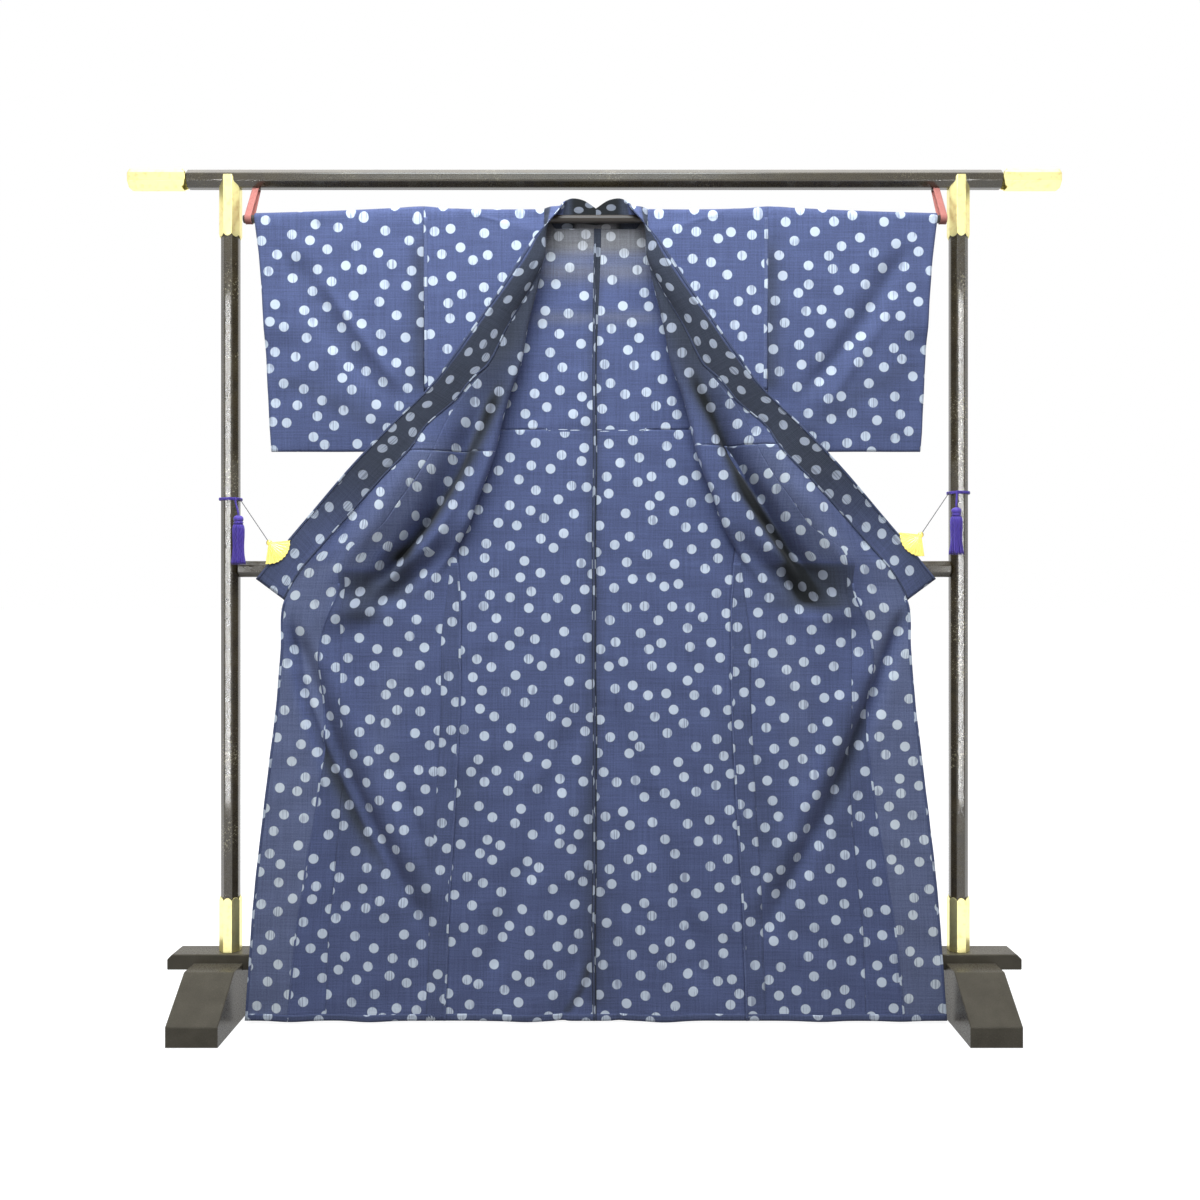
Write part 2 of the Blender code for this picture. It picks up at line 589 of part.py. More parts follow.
def sleeve(side, sign):
    """A sleeve as one folded panel: over the rod, down the front, round the bottom and up."""
    down = np.array([0.006, 0.012, ROD_DROP, 0.07, 0.13, 0.19, 0.25, 0.31, 0.37, 0.43])
    under = SLEEVE_DROP - 0.0030
    drops = np.concatenate([[0.0], down, [under, SLEEVE_DROP, under], down[::-1]])
    facing = np.concatenate([[0.0], np.ones(len(down) + 1), [0.0], -np.ones(len(down) + 1)])
    share = np.linspace(0.0, 1.0, 8)[None, :]
    drop = drops[:, None] + 0.0 * share
    inner = ARMHOLE + FIT_GAP
    outer = smooth_value(np.maximum(drop, SLEEVE_AT[0]), SLEEVE_AT, SLEEVE_EDGE)
    x = inner + (outer - inner) * share
    half = sleeve_half(share, np.maximum(drop, SLEEVE_AT[0]))
    middle = crease_height(SLEEVE_CREASE, x, drop)
    forward = middle + facing[:, None] * half * np.where(drop < ROD_DROP, bend_share(drop), 1.0)
    height = shoulder_height(x, drop)
    points = cloth_points(sign, x, forward, height)
    return cloth_sheet(f"sleeve_{side}", points, CLOTH_WALL, closed=True)


# ---------------------------------------------------------------- the stand's pieces
def foot(side, sign):
    """A foot across the stand: upright ends, long slopes and a notch that takes the plank."""
    half_notch = PLANK_DEPTH / 2 + FIT_GAP
    notch = PLANK_BOTTOM - FIT_GAP
    right = [(FOOT_HALF, 0.0), (FOOT_HALF, FOOT_FACE), (FOOT_FLAT_HALF, FOOT_TOP),
             (half_notch, FOOT_TOP), (half_notch, notch)]
    outline = right + [(-y, z) for y, z in reversed(right)]
    item = outline_plate(f"foot_{side}", outline, FOOT_WIDTH, (math.pi / 2, 0.0, math.pi / 2),
                         (sign * FOOT_X, 0.0, 0.0))
    item = curve_to_mesh(item)
    add_bevel(item, 0.0015, 1)
    return item


def base_plank():
    """The plank that joins the feet, with chamfered upper ends."""
    low, high = PLANK_BOTTOM, PLANK_TOP
    right = [(PLANK_HALF, low), (PLANK_HALF, high - PLANK_CHAMFER),
             (PLANK_HALF - PLANK_CHAMFER, high)]
    outline = right + [(-x, z) for x, z in reversed(right)]
    item = outline_plate("base_plank", outline, PLANK_DEPTH, (math.pi / 2, 0.0, 0.0),
                         (0.0, 0.0, 0.0))
    item = curve_to_mesh(item)
    add_bevel(item, 0.002)
    return item


def post(side, sign):
    low = PLANK_TOP + FIT_GAP
    high = BAR_HEIGHT - BAR_ACROSS / 2 - FIT_GAP
    return octagon_bar(f"post_{side}", POST_ACROSS, high - low,
                       (sign * POST_X, 0.0, (low + high) / 2), "z")


def post_fitting(name, sign, low, high, cutters):
    """A gold sleeve round the post; at the top it also straddles the bar."""
    centre = (sign * POST_X, 0.0, (low + high) / 2)
    item = octagon_bar(name, FITTING_ACROSS, high - low, centre, "z")
    core = octagon_bar(f"{name}_core", POST_ACROSS + 2 * FIT_GAP, high - low + 0.02, centre, "z")
    cut(item, core, cutters)
    if high > BAR_HEIGHT - BAR_ACROSS:
        saddle = octagon_bar(f"{name}_saddle", BAR_ACROSS + 2 * FIT_GAP, 0.2,
                             (sign * POST_X, 0.0, BAR_HEIGHT), "x")
        cut(item, saddle, cutters)
    return item


def top_bar():
    length = 2 * (BAR_HALF - CAP_LENGTH - FIT_GAP)
    return octagon_bar("top_bar", BAR_ACROSS, length, (0.0, 0.0, BAR_HEIGHT), "x")


def bar_cap(side, sign):
    centre = (sign * (BAR_HALF - CAP_LENGTH / 2), 0.0, BAR_HEIGHT)
    item = octagon_bar(f"bar_cap_{side}", CAP_ACROSS, CAP_LENGTH, centre, "x")
    add_bevel(item, 0.003)
    return item


def lower_rail():
    length = 2 * (POST_X - POST_ACROSS / 2 - FIT_GAP)
    return octagon_bar("lower_rail", RAIL_ACROSS, length, (0.0, 0.0, RAIL_HEIGHT), "x")


def hanging_rod():
    bpy.ops.mesh.primitive_cylinder_add(vertices=16, radius=ROD_RADIUS, depth=2 * ROD_HALF,
                                        location=(0.0, ROD_Y, ROD_HEIGHT),
                                        rotation=(0.0, math.pi / 2, 0.0))
    item = bpy.context.object
    item.name = "hanging_rod"
    add_bevel(item, 0.001, 1)
    return item


def strap(side, sign):
    """A tape fixed under the bar at both ends: a leg down, an arc under the rod, a leg up."""
    top = BAR_HEIGHT - BAR_ACROSS / 2 - STRAP_HANG
    reach = ROD_RADIUS + FIT_GAP + STRAP_WALL / 2
    meets = []                      # where each leg touches the arc, as an angle round the rod
    for leg_y, way in zip(STRAP_LEGS, (1.0, -1.0)):
        away = (leg_y - ROD_Y, top - ROD_HEIGHT)
        meets.append(math.atan2(away[1], away[0]) + way * math.acos(reach / math.hypot(*away)))
    round_rod = np.linspace(meets[0], meets[1] + 2 * math.pi, STRAP_ARC_POINTS)
    y = np.concatenate([[STRAP_LEGS[0]], ROD_Y + reach * np.cos(round_rod), [STRAP_LEGS[1]]])
    z = np.concatenate([[top], ROD_HEIGHT + reach * np.sin(round_rod), [top]])
    x = sign * STRAP_X[side] + STRAP_WIDTH * np.array([-0.5, 0.5])
    points = np.stack([np.broadcast_to(x, (len(y), 2)), np.broadcast_to(y[:, None], (len(y), 2)),
                       np.broadcast_to(z[:, None], (len(y), 2))], axis=-1)
    return cloth_sheet(f"strap_{side}", points, STRAP_WALL)


def collar_clip(side, sign, cutters):
    """A fan-shaped clip whose slot takes the collar's edge."""
    apex_x, apex_z = CLIP_APEX[side]
    fan = np.radians(np.linspace(*CLIP_FAN_TURN, 12))
    boss = np.radians(np.linspace(*CLIP_BOSS_TURN, 7))
    outline = [(-CLIP_REACH * math.cos(a), -CLIP_REACH * math.sin(a)) for a in fan]
    outline += [(-CLIP_BOSS * math.cos(a), -CLIP_BOSS * math.sin(a)) for a in boss]
    outline = [(sign * x, z) for x, z in outline]
    item = outline_plate(f"collar_clip_{side}", outline, CLIP_THICK, (math.pi / 2, 0.0, 0.0),
                         (sign * apex_x, ROD_Y - CLIP_FORWARD, apex_z))
    item = curve_to_mesh(item)
    free_x = COLLAR_COLUMNS.index("free_x")
    free_height = COLLAR_COLUMNS.index("free_height")
    start, end = (np.array([row[free_x] + sign * ROBE_X, row[free_height]])
                  for row in (COLLAR_STATIONS[-3], COLLAR_STATIONS[-2]))
    direction = (end - start) / np.linalg.norm(end - start)
    inward = np.array([-direction[1], direction[0]])
    inward = inward if inward[0] < 0 else -inward
    middle = (start + end) / 2 + inward * (CLIP_SLOT_DEPTH / 2 - CLIP_SLOT_CLEAR)
    bpy.ops.mesh.primitive_cube_add(size=1.0)
    slot = bpy.context.object
    slot.name = f"collar_clip_{side}_slot"
    slot.scale = (CLIP_SLOT_LENGTH, CLIP_SLOT, CLIP_SLOT_DEPTH)
    slot.location = (sign * middle[0], ROD_Y - CLIP_FORWARD, middle[1])
    slot.rotation_euler = (0.0, -math.atan2(sign * direction[1], direction[0]), 0.0)
    cut(item, slot, cutters)
    return item


def post_wrap(side, sign):
    """A cord wound round the post."""
    bpy.ops.mesh.primitive_torus_add(major_radius=WRAP_RING, minor_radius=WRAP_CORD,
                                     major_segments=20, minor_segments=6,
                                     location=(sign * POST_X, 0.0, WRAP_HEIGHT[side]))
    item = bpy.context.object
    item.name = f"post_wrap_{side}"
    return item


def pull_cord(side, sign):
    """The taut cord from the winding on the post to the clip's boss."""
    apex_x, apex_z = CLIP_APEX[side]
    boss = np.array([sign * apex_x, ROD_Y - CLIP_FORWARD, apex_z])
    ring_reach = WRAP_RING + WRAP_CORD + FIT_GAP + PULL_CORD_RADIUS
    turn = math.radians(PULL_CORD_TURN)
    ring = np.array([sign * (POST_X - ring_reach * math.cos(turn)), ring_reach * math.sin(turn),
                     WRAP_HEIGHT[side]])
    direction = (boss - ring) / np.linalg.norm(boss - ring)
    end = boss - direction * (CLIP_BOSS + FIT_GAP + PULL_CORD_RADIUS)
    points = [tuple(ring + (end - ring) * t) for t in np.linspace(0.0, 1.0, 12)]
    return tube(f"pull_cord_{side}", points, PULL_CORD_RADIUS)


def tassel_stem(side, sign):
    """The short cord that the tassel hangs on, from the winding to the tassel's head."""
    towards = np.array([sign * (TASSEL_X[side] - POST_X), TASSEL_Y])
    towards = towards / np.linalg.norm(towards)
    reach = WRAP_RING + WRAP_CORD + STEM_RADIUS + FIT_GAP
    start = np.array([sign * POST_X + towards[0] * reach, towards[1] * reach,
                      WRAP_HEIGHT[side] + STEM_ABOVE])
    end = np.array([sign * TASSEL_X[side], TASSEL_Y, TASSEL_HEAD[side] + STEM_IN_HEAD])
    below = start - [0.0, 0.0, STEM_SAG[0]]
    above = end + [0.0, 0.0, STEM_SAG[1]]
    t = np.linspace(0.0, 1.0, 8)[:, None]
    points = ((1 - t) ** 3 * start + 3 * t * (1 - t) ** 2 * below
              + 3 * t ** 2 * (1 - t) * above + t ** 3 * end)
    return tube(f"tassel_stem_{side}", [tuple(point) for point in points], STEM_RADIUS)


def tassel(side, sign):
    """A bound head whose lower face carries the strands, so that their roots are one body."""
    shape = bmesh.new()
    top = TASSEL_HEAD[side]
    angles = np.linspace(0.0, 2 * math.pi, STRANDS_ROUND, endpoint=False)

    def ring(radius, height):
        return [shape.verts.new((radius * math.cos(a), radius * math.sin(a), height))
                for a in angles]

    rings = [ring(TASSEL_RADIUS * share, drop) for share, drop in TASSEL_PROFILE]
    root = TASSEL_PROFILE[-1][1]
    rings += [ring(TASSEL_RADIUS * share, root) for share in (0.66, 0.33)]
    shape.faces.new(rings[0])
    strands = []
    for index, (upper, lower) in enumerate(zip(rings, rings[1:])):
        for i in range(STRANDS_ROUND):
            j = (i + 1) % STRANDS_ROUND
            face = shape.faces.new((upper[i], lower[i], lower[j], upper[j]))
            if index >= len(TASSEL_PROFILE) - 1:
                strands.append(face)
    strands.append(shape.faces.new(list(reversed(rings[-1]))))
    bmesh.ops.recalc_face_normals(shape, faces=shape.faces)
    bmesh.ops.inset_individual(shape, faces=strands, thickness=STRAND_GAP)
    extruded = bmesh.ops.extrude_discrete_faces(shape, faces=strands)
    length = TASSEL_LENGTH[side] + root
    for order, face in enumerate(extruded["faces"]):
        uneven = STRAND_UNEVEN * math.sin(order * 2.4)
        for vertex in face.verts:
            vertex.co.x *= TASSEL_FLARE
            vertex.co.y *= TASSEL_FLARE
            vertex.co.z = root - length + abs(uneven)
    mesh = bpy.data.meshes.new(f"tassel_{side}")
    shape.to_mesh(mesh)
    shape.free()
    item = bpy.data.objects.new(f"tassel_{side}", mesh)
    item.location = (sign * TASSEL_X[side], TASSEL_Y, top)
    bpy.context.scene.collection.objects.link(item)
    return item


# ---------------------------------------------------------------- the whole model
def build_stand(model, cutters):
    lacquer = make_finish("black_lacquer", (0.055, 0.050, 0.043), 0.28)
    gold = make_finish("gold_plated_brass", (0.86, 0.66, 0.24), 0.30, 1.0)
    red = make_finish("red_cloth_strap", (0.62, 0.19, 0.17), 0.85)
    purple = make_finish("purple_silk_cord", (0.11, 0.06, 0.42), 0.75)
    grey = make_finish("grey_cord", (0.30, 0.29, 0.29), 0.80)
    for item in (base_plank(), top_bar(), lower_rail(), hanging_rod()):
        place(item, model, lacquer)
    for side, sign in SIDES:
        place(foot(side, sign), model, lacquer)
        place(post(side, sign), model, lacquer)
        place(bar_cap(side, sign), model, gold)
        top = post_fitting(f"top_fitting_{side}", sign, TOP_FITTING_BOTTOM, BAR_HEIGHT, cutters)
        base = post_fitting(f"base_fitting_{side}", sign, PLANK_TOP + FIT_GAP, BASE_FITTING_TOP,
                            cutters)
        place(top, model, gold)
        place(base, model, gold)
        place(strap(side, sign), model, red)
        place(collar_clip(side, sign, cutters), model, gold)
        place(post_wrap(side, sign), model, purple)
        place(pull_cord(side, sign), model, grey)
        place(tassel_stem(side, sign), model, purple)
        place(tassel(side, sign), model, purple)


def build_robe(model):
    cotton = make_finish("indigo_cotton", (0.115, 0.140, 0.290), 0.90)
    for side, sign in SIDES:
        for make in (back_panel, front_panel, overlap_panel, collar_band, sleeve):
            place(make(side, sign), model, cotton)


def main():
    clear_scene()
    model = make_collection("yukata_on_stand")
    cutters = make_collection("cutters")
    build_stand(model, cutters)
    build_robe(model)


main()
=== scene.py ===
# %% [markdown]
# # A dotted cotton yukata, opened out on a lacquered stand
# A yukata is an unlined cotton robe. Here it hangs by its sleeves from a thin rod under the bar of
# a kimono stand, and its fronts are turned outwards like two doors, so that most of what shows is
# the inside of the cloth: the seam allowances, the turned hems and the waist tucks lie on our side.
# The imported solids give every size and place. This script makes the fine cloth on them, with its
# own creases, seams and dots, and the finishes of the stand.

# %% The frame
import json
import math

import bmesh
import bpy
import numpy as np
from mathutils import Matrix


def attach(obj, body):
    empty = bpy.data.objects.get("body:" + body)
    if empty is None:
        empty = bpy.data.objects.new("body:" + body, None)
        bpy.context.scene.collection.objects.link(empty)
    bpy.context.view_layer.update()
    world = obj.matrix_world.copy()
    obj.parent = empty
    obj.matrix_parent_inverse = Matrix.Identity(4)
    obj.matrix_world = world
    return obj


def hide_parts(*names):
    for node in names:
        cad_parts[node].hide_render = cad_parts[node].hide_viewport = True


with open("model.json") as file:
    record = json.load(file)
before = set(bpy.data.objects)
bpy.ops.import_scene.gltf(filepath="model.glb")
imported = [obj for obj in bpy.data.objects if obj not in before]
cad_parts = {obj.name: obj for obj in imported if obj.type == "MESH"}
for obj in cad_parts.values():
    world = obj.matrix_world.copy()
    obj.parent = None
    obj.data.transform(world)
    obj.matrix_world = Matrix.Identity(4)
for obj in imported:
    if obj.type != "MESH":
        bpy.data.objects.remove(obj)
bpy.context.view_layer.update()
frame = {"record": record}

# %% [markdown]
# ## The camera
# A level camera in front of the stand, a little below its middle. It comes first, because the
# cords are checked against what it sees. A 34 mm lens at 2.3 m takes in the whole stand with a
# margin.

# %% Camera
CAMERA_PLACE = (0.0112, -2.300, 0.842)
LENS_MM = 33.825

camera_data = bpy.data.cameras.new("studio_camera")
camera_data.lens = LENS_MM
camera_data.sensor_width = 36.0
camera = bpy.data.objects.new("studio_camera", camera_data)
camera.location = CAMERA_PLACE
camera.rotation_euler = (math.pi / 2, 0.0, 0.0)
bpy.context.scene.collection.objects.link(camera)
bpy.context.scene.camera = camera
print("camera at", CAMERA_PLACE)

# %% [markdown]
# ## Small helpers
# Colours are written as the hex codes that a colour picker shows, and one function turns them into
# the linear light that Cycles mixes. Another adds a shader node with its settings and links, so
# that each material reads as a short list.

# %% Colour and node helpers
SIDES = (("left", -1.0), ("right", 1.0))


def srgb(code):
    """Hex to linear light: c / 12.92 for dark values, ((c + 0.055) / 1.055) ** 2.4 for the rest."""
    c = np.array([int(code[i:i + 2], 16) for i in (1, 3, 5)]) / 255
    linear = np.where(c <= 0.04045, c / 12.92, ((c + 0.055) / 1.055) ** 2.4)
    return (*linear.tolist(), 1.0)


def add_node(tree, kind, inputs=None, **settings):
    """One node. inputs gives each socket a value or another node's output."""
    node = tree.nodes.new(kind)
    for name, value in settings.items():
        setattr(node, name, value)
    for socket, value in (inputs or {}).items():
        if isinstance(value, bpy.types.NodeSocket):
            tree.links.new(value, node.inputs[socket])
        else:
            node.inputs[socket].default_value = value
    return node


def noise(tree, place, scale, detail=2.0):
    """Cloudy noise over the place; the scale is in waves for each unit of it."""
    return add_node(tree, "ShaderNodeTexNoise", {"Vector": place, "Scale": scale,
                                                 "Detail": detail}).outputs["Fac"]


def stretched(tree, place, *scale):
    """The place multiplied by the scale, one number for each axis."""
    return add_node(tree, "ShaderNodeMapping", {"Vector": place, "Scale": scale}).outputs["Vector"]


def combined(tree, first, second, operation="ADD"):
    """The sum of two values, or their product."""
    return add_node(tree, "ShaderNodeMath", {0: first, 1: second},
                    operation=operation).outputs["Value"]


def ranged(tree, value, low, high, to_low=0.0, to_high=1.0, **settings):
    """The value's stretch from low to high, carried to the stretch from to_low to to_high."""
    return add_node(tree, "ShaderNodeMapRange", {"Value": value, "From Min": low, "From Max": high,
                                                 "To Min": to_low, "To Max": to_high},
                    **settings).outputs["Result"]


def mixed(tree, factor, first, second):
    """From the first colour to the second; either is a hex code or a node's output."""
    first, second = (srgb(c) if isinstance(c, str) else c for c in (first, second))
    node = add_node(tree, "ShaderNodeMix", {0: factor, 6: first, 7: second}, data_type="RGBA")
    return node.outputs[2]


def solid_place(tree):
    """Place in the object's own metres."""
    return add_node(tree, "ShaderNodeTexCoord").outputs["Object"]


def cloth_place(tree):
    """Place on the flat cut cloth, in metres."""
    return add_node(tree, "ShaderNodeUVMap", uv_map="cut").outputs["UV"]


def join_shader(tree, shader, color, height=None, strength=1.0, distance=0.001):
    """Gives a shader its colour and, from a height, its relief; the distance is in metres."""
    tree.links.new(color, shader.inputs["Base Color"])
    if height is not None:
        bump = add_node(tree, "ShaderNodeBump", {"Height": height, "Strength": strength,
                                                 "Distance": distance})
        tree.links.new(bump.outputs["Normal"], shader.inputs["Normal"])


def new_finish(name, **sockets):
    """A Principled material whose constant values sit on the shader's own sockets."""
    finish = bpy.data.materials.new(name)
    finish.use_nodes = True
    shader = finish.node_tree.nodes["Principled BSDF"]
    for socket, value in sockets.items():
        shader.inputs[socket.replace("_", " ")].default_value = value
    return finish, finish.node_tree, shader


print("linear value of middle grey #808080:", round(srgb("#808080")[0], 4))

# %% [markdown]
# ## The clip cords
# A thin nylon thread holds each clip out from the winding on its post. It is pulled taut, so it is
# a straight line from the winding to the clip's hinge, both ends held.

# %% Clip cords
CORD_ENDS = {  # at the winding, at the clip
    "left": ((-0.71957, -0.01295, 1.04700), (-0.65165, -0.05211, 0.96124)),
    "right": ((0.71957, -0.01295, 1.06000), (0.65403, -0.05204, 0.97703)),
}
CORD_RADIUS = 0.0008
for side, (start, end) in CORD_ENDS.items():
    run = np.linspace(0.0, 1.0, 16)[:, None]
    path = np.asarray(start) + (np.asarray(end) - np.asarray(start)) * run
    curve = bpy.data.curves.new(f"clip_cord_{side}", "CURVE")
    curve.dimensions = "3D"
    curve.bevel_depth = 1.0      # times each point's own radius
    curve.bevel_resolution = 3
    curve.use_fill_caps = True
    line = curve.splines.new("POLY")
    line.points.add(len(path) - 1)
    line.points.foreach_set("co", np.concatenate([path, np.ones((len(path), 1))], axis=1).ravel())
    line.points.foreach_set("radius", np.full(len(path), CORD_RADIUS))
    cord = bpy.data.objects.new(f"clip_cord_{side}", curve)
    bpy.context.scene.collection.objects.link(cord)
    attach(cord, "root")
    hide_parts(f"pull_cord_{side}")
    length = float(np.linalg.norm(np.subtract(end, start)))
    print("clip cord", side, round(length, 4), "m")

# %% [markdown]
# ## The cotton
# Yukata cotton is a plain weave of single threads, dyed indigo with the dots kept white. It is thin
# enough for daylight to come through: one layer over nothing looks pale and greyish, two layers
# look deep blue, and the folded collar is almost black. Real transparency would be slow and sorts
# badly in a viewer, so each vertex carries a number for its layers, and the colour reads it. The
# same number also carries painted shade, darker along the troughs and pockets of the folds, and
# painted light, paler on the banks that face the light. A second number, gauze, greys the places
# where the dark collar shows through a single layer.
# The dots are 19 mm across and lie about 44 mm apart with no order. A Voronoi pattern with a
# jittered cell for each dot gives that, on the cloth's own flat coordinates in metres, so that the
# dots bend and shorten with the folds and are cut off at seams.

# %% Cotton material
DOT_RADIUS = 0.0097
DOT_CELL = 0.0438
DOT_JITTER = 0.50
DOT_EDGE = 0.0007
DOT_TURN = 27.0          # degrees from the cloth's own directions to the rows of cells
WAVE = 0.314             # a wave texture of this scale repeats once in each unit
FUZZ = 420.0             # tufts to the metre
THREAD_PATCHES = 24.0    # patches to the metre in which the dyed threads show
THREAD = 0.0030          # real threads lie 0.5 mm apart; drawn coarse enough to show
SLUB_WIDTH = 0.0030      # the streaks of thicker warp threads
SLUB_LENGTH = 0.090
DOT_THREAD = 0.0024       # the dyed threads that show as fine lines through some dots
# Colours along the tone, from one pale layer to near black; the darker stops serve both extra layers
# of cloth and painted shade.
CLOTH_TONES = ((0.0, "#7882a4"), (0.4, "#5f6a95"), (0.8, "#434959"), (1.0, "#1f2225"))
DOT_TONES = ((0.0, "#f0f8ff"), (0.4, "#e4efff"), (0.8, "#b4bccd"), (1.0, "#7f8490"))
GAUZE_TONE = "#828287"
GAUZE_DOT = "#c6c8ce"


def tone_ramp(tree, factor, tones):
    """A ramp through the (place, hex) pairs."""
    node = add_node(tree, "ShaderNodeValToRGB", {"Fac": factor})
    stops = node.color_ramp.elements
    while len(stops) < len(tones):
        stops.new(0.5)
    for stop, (place, code) in zip(stops, tones):
        stop.position = place
        stop.color = srgb(code)
    return node.outputs["Color"]


def cotton_finish(name):
    """Dyed cotton: colour by layers of cloth and painted shade, white dots by distance to the nearest
    jittered cell point.
    """
    finish, tree, shader = new_finish(name, Roughness=0.94, Specular_IOR_Level=0.20,
                                      Sheen_Weight=0.06, Sheen_Roughness=0.60)
    flat = cloth_place(tree)
    turned = add_node(tree, "ShaderNodeMapping", {"Vector": flat,
                                                  "Rotation": (0.0, 0.0, math.radians(DOT_TURN))})
    cells = add_node(tree, "ShaderNodeTexVoronoi",
                     {"Vector": turned.outputs["Vector"], "Scale": 1 / DOT_CELL,
                      "Randomness": DOT_JITTER}, voronoi_dimensions="2D", feature="F1")
    dot = ranged(tree, cells.outputs["Distance"], (DOT_RADIUS + DOT_EDGE) / DOT_CELL,
                 (DOT_RADIUS - DOT_EDGE) / DOT_CELL, interpolation_type="SMOOTHSTEP")
    layers_and_painted_shade, gauze = (add_node(tree, "ShaderNodeAttribute", attribute_name=label).outputs["Fac"]
                     for label in ("layers_and_painted_shade", "gauze"))
    warp = noise(tree, stretched(tree, flat, 1 / SLUB_WIDTH, 1 / SLUB_LENGTH, 1.0), 1.0, 3.0)
    weft = noise(tree, stretched(tree, flat, 1 / SLUB_LENGTH, 1 / SLUB_WIDTH, 1.0), 1.0)
    uneven = combined(tree, warp, weft)
    rough = combined(tree, uneven, noise(tree, flat, FUZZ, 1.0))
    cloth = mixed(tree, gauze, tone_ramp(tree, layers_and_painted_shade, CLOTH_TONES), GAUZE_TONE)
    dyed = add_node(tree, "ShaderNodeHueSaturation",
                    {"Color": cloth, "Value": ranged(tree, rough, 1.05, 1.95, 0.74, 1.26)})
    white = mixed(tree, gauze, tone_ramp(tree, layers_and_painted_shade, DOT_TONES), GAUZE_DOT)
    threads = noise(tree, stretched(tree, flat, 1 / DOT_THREAD, 1 / SLUB_LENGTH, 1.0), 1.0, 0.0)
    both = combined(tree, threads, noise(tree, flat, THREAD_PATCHES))
    cover = combined(tree, dot, ranged(tree, both, 1.08, 1.22, 1.0, 0.52), "MULTIPLY")
    waves = [add_node(tree, "ShaderNodeTexWave", {"Vector": flat, "Scale": WAVE / THREAD,
                                                  "Distortion": 0.6}, bands_direction=way)
             for way in ("X", "Y")]
    weave = combined(tree, *(wave.outputs["Fac"] for wave in waves))
    join_shader(tree, shader, mixed(tree, cover, dyed.outputs["Color"], white),
                combined(tree, weave, uneven), 0.35, 0.0004)
    return finish


cotton = cotton_finish("indigo_cotton_plain_weave")
print("dots", 2 * DOT_RADIUS * 1000, "mm across in cells of", DOT_CELL * 1000, "mm")

# %% [markdown]
# ## The robe's measured shape
# The cloth is described by how far each level of it lies out from the robe's middle and forward of
# the rod. These are the sizes that the solids were made from, so the fine cloth lies on them. A
# level of a front runs from the side seam in to the roll, round it, and out to the edge; lower down
# the fold opens and the front lies flat.

# %% Sizes of the robe
ROBE_X = 0.003
ROD_Y = -0.050
ROD_HEIGHT = 1.602
BEND = 0.0100
SHOULDER = 1.620
ROD_DROP = SHOULDER - ROD_HEIGHT
HEM_DROP = 1.613
ARMHOLE = 0.342
NECK_HALF = 0.1035
NECK_FLAT_HALF = 0.080
NECK_DROP = 0.034
ROLL_RADIUS = 0.009
UNDER_BULGE = 0.005
STEEPER = 3.0
FOLD_OPENS = (0.620, 0.800)
CLOTH_WALL = 0.0010
COLLAR_WALL = 0.0020
COLLAR_END = 0.778
POINT_DROP = 0.323
POINT_WIDTH = 0.002
POINT_SPREAD = 0.045


def in_metres(rows):
    """Millimetres to metres, through tuples nested to any depth."""
    return tuple(in_metres(row) for row in rows) if isinstance(rows, tuple) else rows / 1000


LIFT_AT = (0.00, 0.26, 0.30, 0.340, 0.40, 0.50, 0.68)
LIFT = (0.009, 0.009, 0.011, 0.015, 0.012, 0.007, 0.001)
BACK_AT = (0.000, 0.300, 0.700, 1.000, 1.300, 1.613)
BACK_FORWARD = (-0.0100, -0.0100, -0.0090, -0.0040, 0.0040, 0.0120)

FRONT_COLUMNS = ("drop", "cut", "side", "roll", "edge", "under", "turned", "rim")
FRONT_SECTIONS = in_metres((
    (0, 239.5, 342, 92, 180, 10, 30, 30),
    (58, 241, 342, 97, 182, 10, 30, 30),
    (148, 247, 342, 112, 192, 10, 30, 32),
    (238, 254, 341, 134, 212, 9.5, 30, 36),
    (318, 263, 341, 150, 238, 8.5, 30, 38),
    (378, 270, 339.5, 172, 268, 5.5, 30, 38),
    (438, 269, 326, 188, 334, 0, 29, 37),
    (480, 261, 311, 198, 361, -5, 28, 35),
    (538, 252, 298, 218, 419, -7.2, 27, 30),
    (578, 247, 291, 234, 458, -7.2, 25, 25),
    (664, 241, 280, 260, 538, -7, 16, 13),
    (736, 240, 273, 266, 598, -6.6, 5, 8),
    (778, 240, 270, 268, 620, -6, 0, 6),
    (878, 240, 270, 268, 628, -5, 0, 5),
    (978, 240, 270, 268, 636, -4, 0, 4),
    (1098, 240, 275, 273, 650, 0, 0, 5),
    (1218, 240, 281, 279, 664, 3, 3, 7),
    (1338, 240, 288, 286, 677, 6, 6, 9),
    (1613, 240, 298, 296, 697, 12, 12, 12),
))
COLLAR_COLUMNS = ("run", "bow_x", "bow_forward", "bow_up", "free_x", "free_forward", "free_height")
COLLAR_STATIONS = in_metres((
    (-103.5, 0, -1, 0, 0, -14.5, 1628),
    (-79.5, 0, -1, 0, 24, -15, 1644),
    (-58, 0, -1, 0, 45, -15, 1648.5),
    (-36, 0, -3, 2, 60, -11, 1643),
    (-18, 0, -3, 3, 66, 1, 1633),
    (0, 0, 1, 3, 69, 15, 1620),
    (18, -2, 3, 2, 80, 28, 1602),
    (50, -6, 5, 0, 108, 40, 1568),
    (72, -10, 5, 0, 124, 44, 1548),
    (95, -15, 4, 0, 138, 47, 1527),
    (150, -12, 4, 0, 170, 49, 1477),
    (238, -4, 4, 0, 218, 50, 1406),
    (318, 0, 2, 0, 272, 49, 1330),
    (378, 0, 1, 0, 318, 46, 1268),
    (480, 0, 1, 0, 412, 40, 1176),
    (550, 0, 0, 0, 478, 28, 1111),
    (660, 0, 0, 0, 574, 8, 1006),
    (726, 0, 0, 0, 636, 4.5, 934),
    (778, 0, 0, 0, 677, 4.5, 884),
))
print(len(FRONT_SECTIONS), "levels of a front,", len(COLLAR_STATIONS), "stations of the collar")

# %% [markdown]
# ## Reading the sizes as smooth curves
# A table gives a size at a few levels. Between them a cubic that is level with its neighbours gives
# soft cloth without kinks, and it takes a whole array of levels at once.

